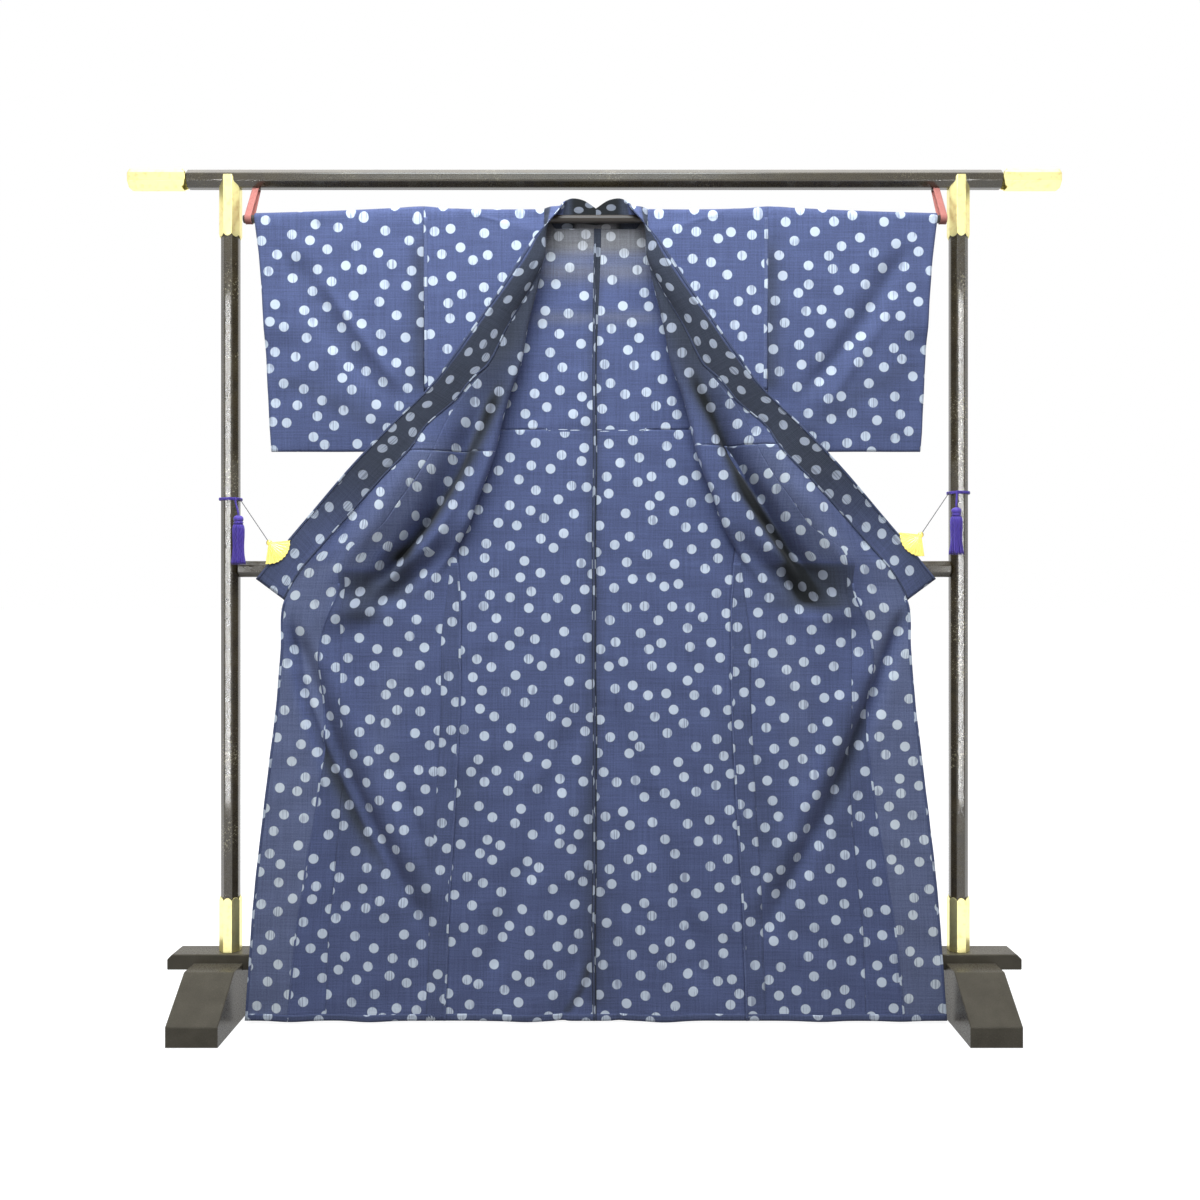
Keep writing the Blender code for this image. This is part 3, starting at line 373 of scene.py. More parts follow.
# %% Smooth curves through a table
def smooth_value(at, knots, values):
    """Cubic through the knots whose slope at each knot comes from its two neighbours."""
    at = np.clip(np.asarray(at, dtype=float), knots[0], knots[-1])
    knots, values = np.asarray(knots, dtype=float), np.asarray(values, dtype=float)
    slopes = np.gradient(values, knots)
    before = np.clip(np.searchsorted(knots, at) - 1, 0, len(knots) - 2)
    span = knots[before + 1] - knots[before]
    t = (at - knots[before]) / span
    return ((1 + 2 * t) * (1 - t) ** 2 * values[before]
            + t * (1 - t) ** 2 * span * slopes[before]
            + t ** 2 * (3 - 2 * t) * values[before + 1]
            + t ** 2 * (t - 1) * span * slopes[before + 1])


def bell(at, middle, width):
    """exp(-((at - middle) / width)^2): 1 at the middle, and almost nothing two widths away."""
    return np.exp(-((at - middle) / width) ** 2)


def shares(count):
    """Even steps from 0 to 1, as one row."""
    return np.linspace(0.0, 1.0, count)[None, :]


def ease(t):
    """0 below 0, 1 above 1, and 3 t^2 - 2 t^3 between, so it starts and stops level."""
    t = np.clip(t, 0.0, 1.0)
    return t * t * (3 - 2 * t)


def from_table(name, columns, rows, at):
    """One named column of a table, read smoothly at any place along its first column."""
    place = columns.index(name)
    return smooth_value(at, [row[0] for row in rows], [row[place] for row in rows])


def level(name, drop):
    """One named size of the front's sections, at any drop below the shoulder line."""
    return from_table(name, FRONT_COLUMNS, FRONT_SECTIONS, drop)


def shoulder_height(x, drop):
    """Height of the cloth: a quarter turn over the rod, then straight down."""
    angle = np.clip(drop / ROD_DROP, 0.0, 1.0) * math.pi / 2
    over_rod = ROD_HEIGHT + (BEND + smooth_value(x, LIFT_AT, LIFT)) * np.cos(angle)
    return np.where(drop < ROD_DROP, over_rod, SHOULDER - drop)


def bend_share(drop):
    """0 on the shoulder line and 1 from the rod's axis down."""
    return np.sin(np.clip(drop / ROD_DROP, 0.0, 1.0) * math.pi / 2)


def yoke_slope(x, drop):
    """The cloth leans back above a crease that runs from the shoulder fold in to the neck."""
    crease = 0.046 * np.clip((0.290 - x) / 0.165, 0.0, 1.0)
    lean = -0.20 * np.clip(crease - drop, 0.0, None) * np.clip(drop / ROD_DROP, 0.0, 1.0)
    return lean + 0.0012 * bell(drop, crease, 0.0022) * (crease > 0.004)


print("half width at the armhole", round(float(level("side", 0.1)), 4), "m")

# %% [markdown]
# ## Folds placed one by one
# Cotton hung from its tips drags in long soft troughs towards what holds it, and bags below. Each
# fold is a spine, given by a few (drop, distance out) points, with a height, which is negative in
# a trough, and a width on each side of the spine, so that one bank can be steeper than the other.
# The left and right sides have their own folds, because no two sides of a hung robe fall alike.

# %% Tables of folds
def folds(*rows, unit=1000):
    """Rows of (spine, height, inner width, outer width, share over which it starts, and ends).

    Spines and widths are in millimetres, and so are the heights of folds.
    """
    return tuple((in_metres(spine), height / unit, inner / 1000, outer / 1000, rise, fall)
                 for spine, height, inner, outer, rise, fall in rows)


def tones(*rows):
    """The same rows with heights in tone: positive rows darken, most as painted shade and some for
    extra layers of cloth behind; negative rows lighten, as painted light.
    """
    return folds(*rows, unit=1)


SHARED_TURNED = folds(
    (((280, 165), (565, 314), (850, 455)), -36, 24, 24, 0.75, 0.25),
    (((400, 300), (600, 420), (800, 540)), 20, 36, 36, 0.5, 0.3),
)
SHARED_OPEN = folds(
    (((790, 620), (1145, 483), (1500, 310)), -15, 20, 20, 0.15, 0.3),
    (((840, 560), (1160, 430), (1480, 260)), 8, 26, 26, 0.2, 0.3),
    (((920, 10), (1255, 120), (1590, 230)), -9, 30, 30, 0.3, 0.15),
    (((1000, 110), (1330, 123), (1660, 135)), 8, 40, 40, 0.5, 0.05),
    (((1150, 400), (1405, 428), (1660, 455)), 7, 40, 40, 0.5, 0.05),
    (((1150, 570), (1405, 590), (1660, 610)), 6, 35, 35, 0.5, 0.05),
)
BAG = (0.800, 0.470, 0.030, 0.070, 0.014)      # the lip of cloth below each collar tip

TURNED_FOLDS = {
    "left": folds(
        (((400, 240), (516, 268), (612, 328), (700, 402), (760, 440)), -18, 7, 16, 0.4, 0.15),
        (((560, 262), (640, 310), (740, 372)), 6, 12, 18, 0.4, 0.4),
        (((500, 400), (600, 470), (700, 545)), -5, 12, 20, 0.4, 0.3),
    ),
    "right": folds(
        (((340, 220), (472, 256), (584, 334), (700, 412), (750, 450)), -16, 7, 16, 0.35, 0.15),
        (((500, 252), (600, 318), (730, 392)), 7, 12, 14, 0.4, 0.3),
        (((544, 262), (640, 352), (780, 440)), -10, 8, 14, 0.4, 0.2),
        (((520, 420), (620, 500), (720, 575)), -5, 12, 20, 0.4, 0.3),
    ),
}
OPEN_FOLDS = {
    "left": folds(
        (((820, 612), (965, 581), (1206, 480), (1420, 360)), -10, 6, 16, 0.1, 0.45),
        (((900, 560), (1080, 500), (1300, 390)), 4, 14, 10, 0.3, 0.4),
        (((1050, 420), (1220, 360), (1380, 318)), -4, 10, 16, 0.4, 0.4),
    ),
    "right": folds(
        (((780, 617), (934, 563), (1074, 510), (1277, 429)), -7, 7, 18, 0.1, 0.4),
        (((860, 575), (1000, 520), (1180, 440)), 4, 14, 10, 0.3, 0.4),
        (((1000, 430), (1080, 437), (1160, 446)), -4, 6, 10, 0.3, 0.3),
    ),
}
BACK_FOLDS = {
    "left": folds(
        (((1200, 20), (1450, 34), (1640, 70)), -5, 7, 16, 0.4, 0.02),
    ),
    "right": folds(
        (((1250, 60), (1450, 50), (1640, 46)), -4, 14, 14, 0.4, 0.02),
    ),
}
# Tones of the cloth, in rows of the same kind as the folds. Most follow the troughs and pockets above
# and darken them: painted shade. Rows with a negative height lighten the banks that face the light:
# painted light. The wedge beside the roll and the pockets below the collar tips are partly extra
# layers of cloth behind and partly painted shade.
TURNED_LAYERS_AND_PAINTED_SHADE = {
    "left": tones(
        (((0, 120), (200, 165), (330, 215), (480, 270)), 0.44, 100, 90, 0.01, 0.46),
        (((330, 180), (516, 262), (612, 326), (705, 405)), 0.52, 18, 14, 0.2, 0.04),
        (((440, 305), (560, 362), (740, 480)), -0.22, 34, 60, 0.2, 0.15),
        (((660, 400), (700, 392), (800, 400)), 0.32, 36, 50, 0.2, 0.3),
        (((712, 476), (765, 470), (835, 468)), 0.34, 46, 46, 0.12, 0.22),
    ),
    "right": tones(
        (((0, 120), (200, 165), (330, 215), (480, 270)), 0.44, 100, 90, 0.01, 0.46),
        (((300, 176), (422, 232), (558, 298), (695, 390), (790, 428)), 0.52, 16, 12, 0.2, 0.04),
        (((440, 310), (560, 370), (720, 480)), -0.22, 34, 60, 0.2, 0.15),
        (((700, 430), (750, 440), (812, 440)), 0.46, 88, 95, 0.1, 0.25),
        (((500, 250), (630, 340), (785, 436)), 0.3, 20, 24, 0.25, 0.1),
    ),
}
OPEN_PAINTED_SHADE_AND_LIGHT = {
    "left": tones(
        (((800, 610), (965, 583), (1206, 482), (1400, 372)), 0.34, 8, 18, 0.1, 0.3),
        (((930, 560), (1100, 520), (1400, 460)), 0.12, 60, 50, 0.4, 0.4),
        (((1020, 200), (1240, 300), (1500, 380)), 0.12, 40, 60, 0.3, 0.3),
        (((800, 340), (1000, 420), (1260, 440)), -0.1, 40, 40, 0.3, 0.4),
    ),
    "right": tones(
        (((800, 612), (934, 565), (1074, 512), (1260, 436)), 0.2, 10, 20, 0.1, 0.3),
        (((900, 540), (1080, 500), (1380, 420)), 0.14, 60, 70, 0.4, 0.4),
        (((960, 240), (1240, 330), (1480, 400)), 0.12, 30, 50, 0.3, 0.3),
        (((760, 330), (980, 400), (1300, 430)), -0.1, 40, 40, 0.3, 0.4),
    ),
}
# Painted shade: a soft dark band along each side of the centre seam, a broader one low on the back
# beside it, and on the left a darker row where the hem forks.
BACK_PAINTED_SHADE = {
    "left": tones(
        (((50, 4), (700, 6), (1600, 4)), 0.16, 16, 16, 0.02, 0.02),
        (((1000, 12), (1300, 14), (1560, 30)), 0.12, 20, 30, 0.4, 0.2),
        (((1480, 8), (1545, 26), (1605, 62)), 0.34, 7, 12, 0.3, 0.1),
    ),
    "right": tones(
        (((50, 0), (700, 0), (1600, 2)), 0.16, 12, 12, 0.02, 0.02),
        (((1250, 10), (1430, 14), (1600, 16)), 0.1, 18, 26, 0.4, 0.1),
    ),
}
TUCK = {"back": 0.436, "left": 0.484, "right": 0.472}    # drop of the stitched waist tuck
TUCK_DEPTH = 0.0016
TUCK_WIDTH = 0.0018
TUCK_TAKES = 0.062


def fold_height(row, x, drop):
    """How far one fold moves the cloth forward: height * ends * exp(-(distance / width)^2)."""
    spine, height, inner, outer, rise, fall = row
    drops, outs = zip(*spine)
    t = (drop - drops[0]) / (drops[-1] - drops[0])
    aside = x - smooth_value(drop, drops, outs)
    width = np.where(aside < 0, inner, outer)
    return height * ease(t / rise) * ease((1 - t) / fall) * np.exp(-(aside / width) ** 2)


PLAIN_TONE = 0.40


def tone_with_painted_shade(rows, x, drop, plain=PLAIN_TONE):
    """Tone of the cloth at (x, drop): plain, plus the painted shade and light of the rows, and extra
    layers behind.
    """
    return np.clip(plain + sum(fold_height(row, x, drop) for row in rows), 0.0, 1.0)


def bag_height(x, drop):
    """The lip of cloth below a collar tip: a bell both ways."""
    centre_drop, centre_x, half_drop, half_x, height = BAG
    return height * np.exp(-((x - centre_x) / half_x) ** 2
                           - ((drop - centre_drop) / half_drop) ** 2)


def shared_relief(x, drop):
    """The large folds that the solids have too."""
    folds = SHARED_TURNED + SHARED_OPEN
    return sum(fold_height(row, x, drop) for row in folds) + bag_height(x, drop)


def puckers(x, drop, seed):
    """Small unevenness of worn cotton: three crossed waves of unlike lengths, 0.5 mm high."""
    return 0.0005 * (np.sin(47 * x + 19 * drop + seed) + np.sin(83 * drop - 31 * x + 2 * seed)
                     + 0.7 * np.sin(29 * x - 57 * drop + 3 * seed))


def tuck_groove(place, drop):
    """The stitched line of the waist tuck pulls the cloth in."""
    return -TUCK_DEPTH * bell(drop, TUCK[place], TUCK_WIDTH)


for side, _ in SIDES:
    print(side, "has", len(TURNED_FOLDS[side]) + len(OPEN_FOLDS[side]) + len(BACK_FOLDS[side]),
          "folds of its own")

# %% [markdown]
# ## From a level section to a surface
# Each front is worked out one level at a time: its section is a line from the side seam in behind
# the roll, round a half circle, and out over it. Measuring along that line gives the place on the
# cut cloth, which is where the dots belong and where the next panel is sewn on.

# %% The front's sections
def opening(drop):
    """0 where a front is folded back round its roll, and 1 where it lies opened out flat."""
    return ease((drop - FOLD_OPENS[0]) / (FOLD_OPENS[1] - FOLD_OPENS[0]))


SAMPLES = (30, 25, 150)       # points behind the roll, round it, and out from it
IN_FRONT = 42                 # a little past the middle of the roll


def front_path(drop):
    """Level sections of a front: x and forward, one row for each drop."""
    drop = np.asarray(drop, dtype=float)[:, None]
    side, roll, edge, under, turned, rim = (level(name, drop) for name in FRONT_COLUMNS[2:])
    under = under * bend_share(drop)
    opened = opening(drop)
    bulge = UNDER_BULGE * (1 - opened)
    radius = (turned - under - bulge) / 2
    width = ROLL_RADIUS * (1 - opened)
    turn_x = np.minimum(roll + width, side)
    run = shares(SAMPLES[0])
    under_x = side + (turn_x - side) * run
    under_forward = under + bulge * ease(run * (1.5 + STEEPER * ease((drop - 0.45) / 0.18)))
    angle = np.linspace(0.0, math.pi, SAMPLES[1] + 2)[None, 1:-1]
    roll_x = turn_x - width * np.sin(angle)
    roll_forward = under + bulge + radius * (1 - np.cos(angle))
    out = shares(SAMPLES[2])
    out_x = turn_x + (edge - turn_x) * out
    out_forward = turned + (rim - turned) * out + shared_relief(out_x, drop)
    folded_x = np.concatenate([under_x, roll_x, out_x], axis=1)
    folded_forward = np.concatenate([under_forward, roll_forward, out_forward], axis=1)
    share = np.linspace(0.0, 1.0, folded_x.shape[1])[None, :]
    back = smooth_value(drop, BACK_AT, BACK_FORWARD)
    flat_x = side + (edge - side) * share
    flat_forward = back + (rim - back) * share + shared_relief(flat_x, drop)
    x = folded_x + (flat_x - folded_x) * opened
    return x, folded_forward + (flat_forward - folded_forward) * opened


def outer_share(drop):
    """How much each point of a section takes the front's own folds: none behind the roll."""
    opened = opening(np.asarray(drop, dtype=float))[:, None]
    behind = np.zeros(SAMPLES[0] + SAMPLES[1])
    out = ease(np.linspace(0.0, 1.0, SAMPLES[2]) / 0.15)
    return opened + (1 - opened) * np.concatenate([behind, out])[None, :]


def path_lengths(x, forward):
    """Distance along each section from its first point."""
    steps = np.hypot(np.diff(x, axis=1), np.diff(forward, axis=1))
    return np.concatenate([np.zeros((len(x), 1)), np.cumsum(steps, axis=1)], axis=1)


def read_path(path, lengths, at):
    """The path's values at given lengths along each row."""
    return np.array([np.interp(want, known, row) for want, known, row in zip(at, lengths, path)])


def run_along(path):
    """Distance from the first point of one path in space to each of its points."""
    return np.concatenate([[0.0], np.cumsum(np.linalg.norm(np.diff(path, axis=0), axis=1))])


def cloth_points(sign, x, forward, height):
    """Points in the frame, from distances out from the robe's middle and forward of the rod."""
    return np.stack([ROBE_X + sign * x, ROD_Y - forward, height], axis=-1)


def front_surface(side, sign, drops, at):
    """Points of a front at the given drops (rows) and lengths from the side seam (columns)."""
    x, forward = front_path(drops)
    lengths = path_lengths(x, forward)
    at = np.broadcast_to(at, (len(drops), at.shape[-1]))
    down = drops[:, None]
    own = sum(fold_height(row, x, down) for row in TURNED_FOLDS[side] + OPEN_FOLDS[side])
    own = own + puckers(x, down, 1.0 + sign) + tuck_groove(side, down)
    forward = forward + own * outer_share(drops)
    forward = forward + yoke_slope(x, down) * (np.arange(x.shape[1]) < SAMPLES[0])
    at_x = read_path(x, lengths, at)
    return cloth_points(sign, at_x, read_path(forward, lengths, at),
                        shoulder_height(at_x, down))


def front_tone_with_painted_shade(side, sign, drops, at, points):
    """Tone of a front: the folded part behind the roll is plain; the turned part takes its rows'
    painted shade and light.
    """
    x = sign * (points[..., 0] - ROBE_X)
    lengths = path_lengths(*front_path(drops))
    opened = opening(drops)[:, None]
    in_front = opened + (1 - opened) * (np.arange(lengths.shape[1]) > IN_FRONT)[None, :]
    shown = read_path(in_front, lengths, at)
    rows = TURNED_LAYERS_AND_PAINTED_SHADE[side] + OPEN_PAINTED_SHADE_AND_LIGHT[side]
    return PLAIN_TONE + (tone_with_painted_shade(rows, x, drops[:, None]) - PLAIN_TONE) * shown


BEHIND_AT = 0.7              # where the part behind the roll begins on the cut cloth


def cut_place(side, drops, at):
    """Place on the cut cloth: out from the middle where the front is turned or opened flat.

    From the innermost point of a section on, u = (that point's x) + (length from it), so that the
    pattern runs straight down; behind the roll u is the length from the side seam.
    """
    x, forward = front_path(drops)
    lengths = path_lengths(x, forward)
    inmost = np.argmin(x, axis=1)
    row = np.arange(len(drops))
    reached = at - lengths[row, inmost][:, None]
    u = np.where(reached > -0.004, x[row, inmost][:, None] + reached, at + BEHIND_AT)
    return np.stack([u, tucked(drops[:, None] + 0.0 * at, side)], axis=-1)


def tucked(drop, place):
    """Drop on the cut cloth: the tuck at the waist swallows a stretch of it."""
    return drop + TUCK_TAKES * (drop > TUCK[place])


def seam_lengths(drops):
    """Length along each section at which the front body ends, and at which the front ends."""
    x, forward = front_path(drops)
    cut = level("cut", drops)
    spread = np.clip((drops - POINT_DROP) / POINT_SPREAD, 0.0, 1.0)
    over = POINT_WIDTH + (path_lengths(x, forward)[:, -1] - cut - POINT_WIDTH) * spread
    return cut, cut + over


print("section at 0.6 m:", [round(float(v[0]), 3) for v in seam_lengths(np.array([0.6, 0.7]))])

# %% [markdown]
# ## Laying a grid of cloth
# Every piece of cloth is a grid of points. Its flat coordinates go into a UV map called cut, in
# metres, and a number at each point gives its tone: how many layers of cloth lie there, with the
# painted shade and painted light of the folds added in. Solidify gives it a wall, centred, so the
# cloth stays on its solid.

# %% Cloth mesh helper
def grid_faces(rows, columns):
    """Quads of a grid whose points are stored row by row."""
    row, column = np.arange(rows - 1)[:, None], np.arange(columns - 1)[None, :]
    first = row * columns + column
    quads = np.stack([first, first + 1, first + columns + 1, first + columns], axis=-1)
    return quads.reshape(-1, 4)


def weld_and_turn(mesh, reach):
    """Closes doubled points and makes the faces agree on which way is out."""
    work = bmesh.new()
    work.from_mesh(mesh)
    bmesh.ops.remove_doubles(work, verts=work.verts, dist=reach)
    bmesh.ops.recalc_face_normals(work, faces=work.faces)
    work.to_mesh(mesh)
    work.free()


def add_piece(name, points, finish, slot, replaced=(), faces=None, flat=None, near=None,
              numbers=(), wall=None, weld=0.000005):
    """A finished piece: one grid of points, unless its faces are given.

    flat is each point's place on the cut cloth, in metres. Where it jumps from one part of the cut
    to another, the faces between take near. numbers are attributes of the points. wall is the
    thickness and offset that make a sheet of a surface.
    """
    faces = grid_faces(*points.shape[:2]) if faces is None else faces
    mesh = bpy.data.meshes.new(name)
    mesh.from_pydata(points.reshape(-1, 3).tolist(), [],
                     faces.tolist() if isinstance(faces, np.ndarray) else faces)
    if flat is not None:
        corners = flat.reshape(-1, 2)[faces]
        if near is not None:
            apart = np.ptp(corners[..., 0], axis=1) > 0.1
            corners[apart] = near.reshape(-1, 2)[faces[apart]]
        mesh.uv_layers.new(name="cut").data.foreach_set("uv", corners.ravel())
    for label, amount in numbers:
        told = mesh.attributes.new(label, "FLOAT", "POINT")
        told.data.foreach_set("value", np.broadcast_to(amount, points.shape[:2]).ravel())
    weld_and_turn(mesh, weld)
    mesh.shade_smooth()
    mesh.materials.append(finish)
    piece = bpy.data.objects.new(name, mesh)
    bpy.context.scene.collection.objects.link(piece)
    if wall:
        sheet = piece.modifiers.new("wall", "SOLIDIFY")
        sheet.thickness, sheet.offset = wall
    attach(piece, "root")
    if replaced:
        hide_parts(*replaced)
    return piece


def add_cloth(name, points, flat, layers_and_painted_shade, wall, gauze=0.0, finish=cotton, slot="cotton", **more):
    """A wall of cloth, centred on a grid of points, with a tone at each: its layers of cloth and
    painted shade.
    """
    return add_piece(name, points, finish, slot, flat=flat, wall=(wall, 0.0), weld=0.00001,
                     numbers=(("layers_and_painted_shade", layers_and_painted_shade), ("gauze", gauze)), **more)


def lifted(points, height):
    """The same grid moved along its own normal, towards the front."""
    normal = np.cross(np.gradient(points, axis=0), np.gradient(points, axis=1))
    normal /= np.linalg.norm(normal, axis=-1, keepdims=True)
    return points - height * np.sign(normal[..., 1:2]) * normal


def levels_down(start, end, step, *closer):
    """Drops from start to end, with finer steps round each drop in closer."""
    drops = [np.linspace(start, end, int(round((end - start) / step)) + 1)]
    drops += [place + np.linspace(-0.006, 0.006, 11) for place in closer]
    if start < ROD_DROP:
        drops.append(np.linspace(start, 1.5 * ROD_DROP, 10))
    return np.unique(np.round(np.concatenate(drops), 5))


print("rows of the back:", len(levels_down(0.0, HEM_DROP, 0.0065, TUCK["back"])))

# %% [markdown]
# ## The back
# Two loom widths meet in the middle seam. The back's neck edge is cut in a shallow curve, the
# shoulder is a fold and not a seam, and the waist is taken in by a stitched tuck, below which the
# pattern starts again higher up. That jump is made by shifting the flat coordinates there.

# %% Back panels
def neck_edge(x):
    """Drop of the back's neck edge: level behind the neck, then up to the shoulder line."""
    return NECK_DROP * (1 - ease((x - NECK_FLAT_HALF) / (NECK_HALF - NECK_FLAT_HALF)))


def back_surface(side, sign, drops, x):
    """Points of a back panel: drops in rows, distances out from the middle in columns."""
    down = drops[:, None] + 0.0 * x
    neck = neck_edge(x)
    down = neck + down * (HEM_DROP - neck) / HEM_DROP
    folds = SHARED_OPEN + BACK_FOLDS[side] + OPEN_FOLDS[side]
    relief = sum(fold_height(row, x, down) for row in folds)
    relief = relief + puckers(x, down, 1.0 + sign) + tuck_groove("back", down)
    forward = (smooth_value(down, BACK_AT, BACK_FORWARD) + relief) * bend_share(down)
    return cloth_points(sign, x, forward, shoulder_height(x, down))


def neck_gauze(x, drop):
    """Greyness of the cloth near the neck, where the dark collar shows through from behind."""
    down = 1 - ease((drop - 0.066) / 0.040)
    band = 0.55 * bell(drop, 0.120, 0.020) + 0.35 * bell(drop, 0.212, 0.012)
    return np.clip(down + band, 0.0, 1.0) * (1 - ease((x - 0.090) / 0.060))


for side, sign in SIDES:
    drops = levels_down(0.0, HEM_DROP, 0.0065, TUCK["back"])
    share = shares(62)
    x = level("side", drops)[:, None] * share
    down = neck_edge(x) + drops[:, None] * (HEM_DROP - neck_edge(x)) / HEM_DROP
    points = back_surface(side, sign, drops, x)
    place = np.stack([x, tucked(down, "back")], axis=-1)
    pale = -0.22 * bell(down, 0.105, 0.030) - 0.10 * bell(down, 0.215, 0.016)
    layers_and_painted_shade = tone_with_painted_shade(OPEN_PAINTED_SHADE_AND_LIGHT[side] + BACK_PAINTED_SHADE[side], x, down, PLAIN_TONE + pale)
    add_cloth(f"back_cloth_{side}", points, place + [2.0 + sign, 0.0], layers_and_painted_shade, CLOTH_WALL,
              gauze=neck_gauze(x, down), replaced=(f"back_body_{side}",))
print("back panels", np.round(points.reshape(-1, 3).min(axis=0), 3))

# %% [markdown]
# ## The fronts
# A front is one loom width to the seam of the overlap panel, a narrow panel that widens downwards
# and carries the collar. Both are read from the same sections, one on each side of the seam.

# %% Front panels
PALE_FROM = ((0.323, 0.020), (0.660, 0.030), (0.732, 0.012), (0.864, 0.040), (1.078, 0.040),
             (1.294, 0.056), (1.450, 0.064), (1.613, 0.074))   # drop, width past the seam


def allowance_width(drops):
    """Width of the seam allowance that doubles the overlap panel beside its seam."""
    return smooth_value(drops, *zip(*PALE_FROM))


for side, sign in SIDES:
    drops = levels_down(0.0, HEM_DROP, 0.0062, TUCK[side])
    at = seam_lengths(drops)[0][:, None] * shares(72)
    points = front_surface(side, sign, drops, at)
    place = cut_place(side, drops, at)
    before = np.stack([at + BEHIND_AT, place[..., 1]], axis=-1)
    add_cloth(f"front_cloth_{side}", points, place + [5.0 + sign, 0.31],
              front_tone_with_painted_shade(side, sign, drops, at, points), CLOTH_WALL,
              replaced=(f"front_body_{side}",), near=before + [5.0 + sign, 0.31])
    drops = levels_down(POINT_DROP, HEM_DROP, 0.0062, TUCK[side])
    cut, end = seam_lengths(drops)
    width = end - cut
    doubled = np.minimum(allowance_width(drops), 0.6 * width)
    at = cut[:, None] + np.concatenate(
        [doubled[:, None] * shares(16),
         doubled[:, None] + (width - doubled)[:, None] * np.linspace(0.004, 1.0, 22)[None, :]], axis=1)
    points = front_surface(side, sign, drops, at)
    place = cut_place(side, drops, at)
    tone = front_tone_with_painted_shade(side, sign, drops, at, points)
    single = 0.24 * ease((drops - 0.690) / 0.030)[:, None] * (np.arange(38) >= 16)
    add_cloth(f"overlap_cloth_{side}", points, place + [8.0 + sign, 0.17], tone - single,
              CLOTH_WALL, replaced=(f"overlap_{side}",))
print("front panels reach", np.round(points.reshape(-1, 3).max(axis=0), 3))

# %% [markdown]
# ## The collar
# The collar is one long band folded double, so it is the darkest cloth. It stands up behind the
# neck, passes over the rod, and runs down each front to the tip that the clip holds. Each station
# is a curve of three points: the seam, a bowed middle, and the free edge.

# %% Collar band
def collar_station(name, run):
    """One named size of the collar at any distance along its seam."""
    return from_table(name, COLLAR_COLUMNS, COLLAR_STATIONS, run)


def collar_frame(side, sign):
    """Seam, bowed middle and free edge of the collar, one row for each station."""
    neck_x = np.concatenate([np.linspace(0.0, 0.076, 20), np.linspace(0.080, 0.1005, 8)])
    neck_drop = neck_edge(neck_x)
    neck = cloth_points(sign, neck_x, -BEND * bend_share(neck_drop),
                        shoulder_height(neck_x, neck_drop))
    drops = levels_down(0.0, COLLAR_END, 0.0062)
    cut, end = seam_lengths(drops)
    at = np.where(drops < POINT_DROP, cut, end)
    down = front_surface(side, sign, drops, at[:, None])[:, 0]
    run = np.concatenate([neck_x - NECK_HALF, drops])
    seam = np.concatenate([neck, down])
    bow_x, bow_forward, bow_up, *edge = (collar_station(name, run) for name in COLLAR_COLUMNS[1:])
    free = cloth_points(sign, *edge)
    bow = np.stack([sign * bow_x, -bow_forward, bow_up], axis=1)
    return run, seam, (seam + free) / 2 + 2 * bow, free


def collar_surface(side, sign, across):
    """(1-t)^2 seam + 2 t (1-t) middle + t^2 free edge, t being the share across the band."""
    run, seam, middle, free = collar_frame(side, sign)
    t = across[None, :, None]
    points = ((1 - t) ** 2 * seam[:, None] + 2 * t * (1 - t) * middle[:, None]
              + t ** 2 * free[:, None])
    return run, points


for side, sign in SIDES:
    across = np.linspace(0.0, 1.0, 22)
    run, points = collar_surface(side, sign, across)
    width = np.linalg.norm(points[:, -1] - points[:, 0], axis=1)
    along = run_along(points[:, 10])
    gathered = 1.45 - 0.45 * ease((run - 0.36) / 0.20)
    place = np.stack([(width * gathered)[:, None] * across[None, :],
                      along[:, None] + 0.0 * across], axis=-1)
    # Tone of the band: painted shade on the part that stands up behind the neck, painted light where
    # the band passes over the rod and towards its tip, and a lighter free edge for the first 0.4 m or
    # so.
    painted_shade_behind_neck = 0.18 * (1 - ease((run + 0.062) / 0.020))[:, None]
    past_lobe = ease((run + 0.034) / 0.006)
    over_rod = 0.46 * (past_lobe * (1 - ease((run - 0.016) / 0.034)))[:, None]
    rim = 0.42 * (past_lobe * (1 - ease((run - 0.30) / 0.12)))[:, None] * ease((across - 0.86) / 0.06)
    painted_light_tip = 0.36 * ease((run - 0.50) / 0.20)[:, None] * (1 - 0.5 * across[None, :])
    below_rod = (1 - ease((run + 0.070) / 0.015))[:, None] * (1 - ease((across - 0.14) / 0.05))
    add_cloth(f"collar_band_{side}", points, place + [11.0 + sign, 0.07],
              0.82 + painted_shade_behind_neck - np.maximum(over_rod * ease((across - 0.30) / 0.20), rim) - painted_light_tip,
              COLLAR_WALL, gauze=below_rod,
              replaced=(f"collar_{side}",))
    print(f"collar {side}:", round(float(along[-1]), 3), "m long")

# %% [markdown]
# ## The sleeves
# A sleeve is one loom width folded over the shoulder and sewn up at the bottom, with the lower part
# of the cuff sewn shut. Going round it once, from the shoulder fold down the front, round the bottom
# and up behind, gives a single grid.

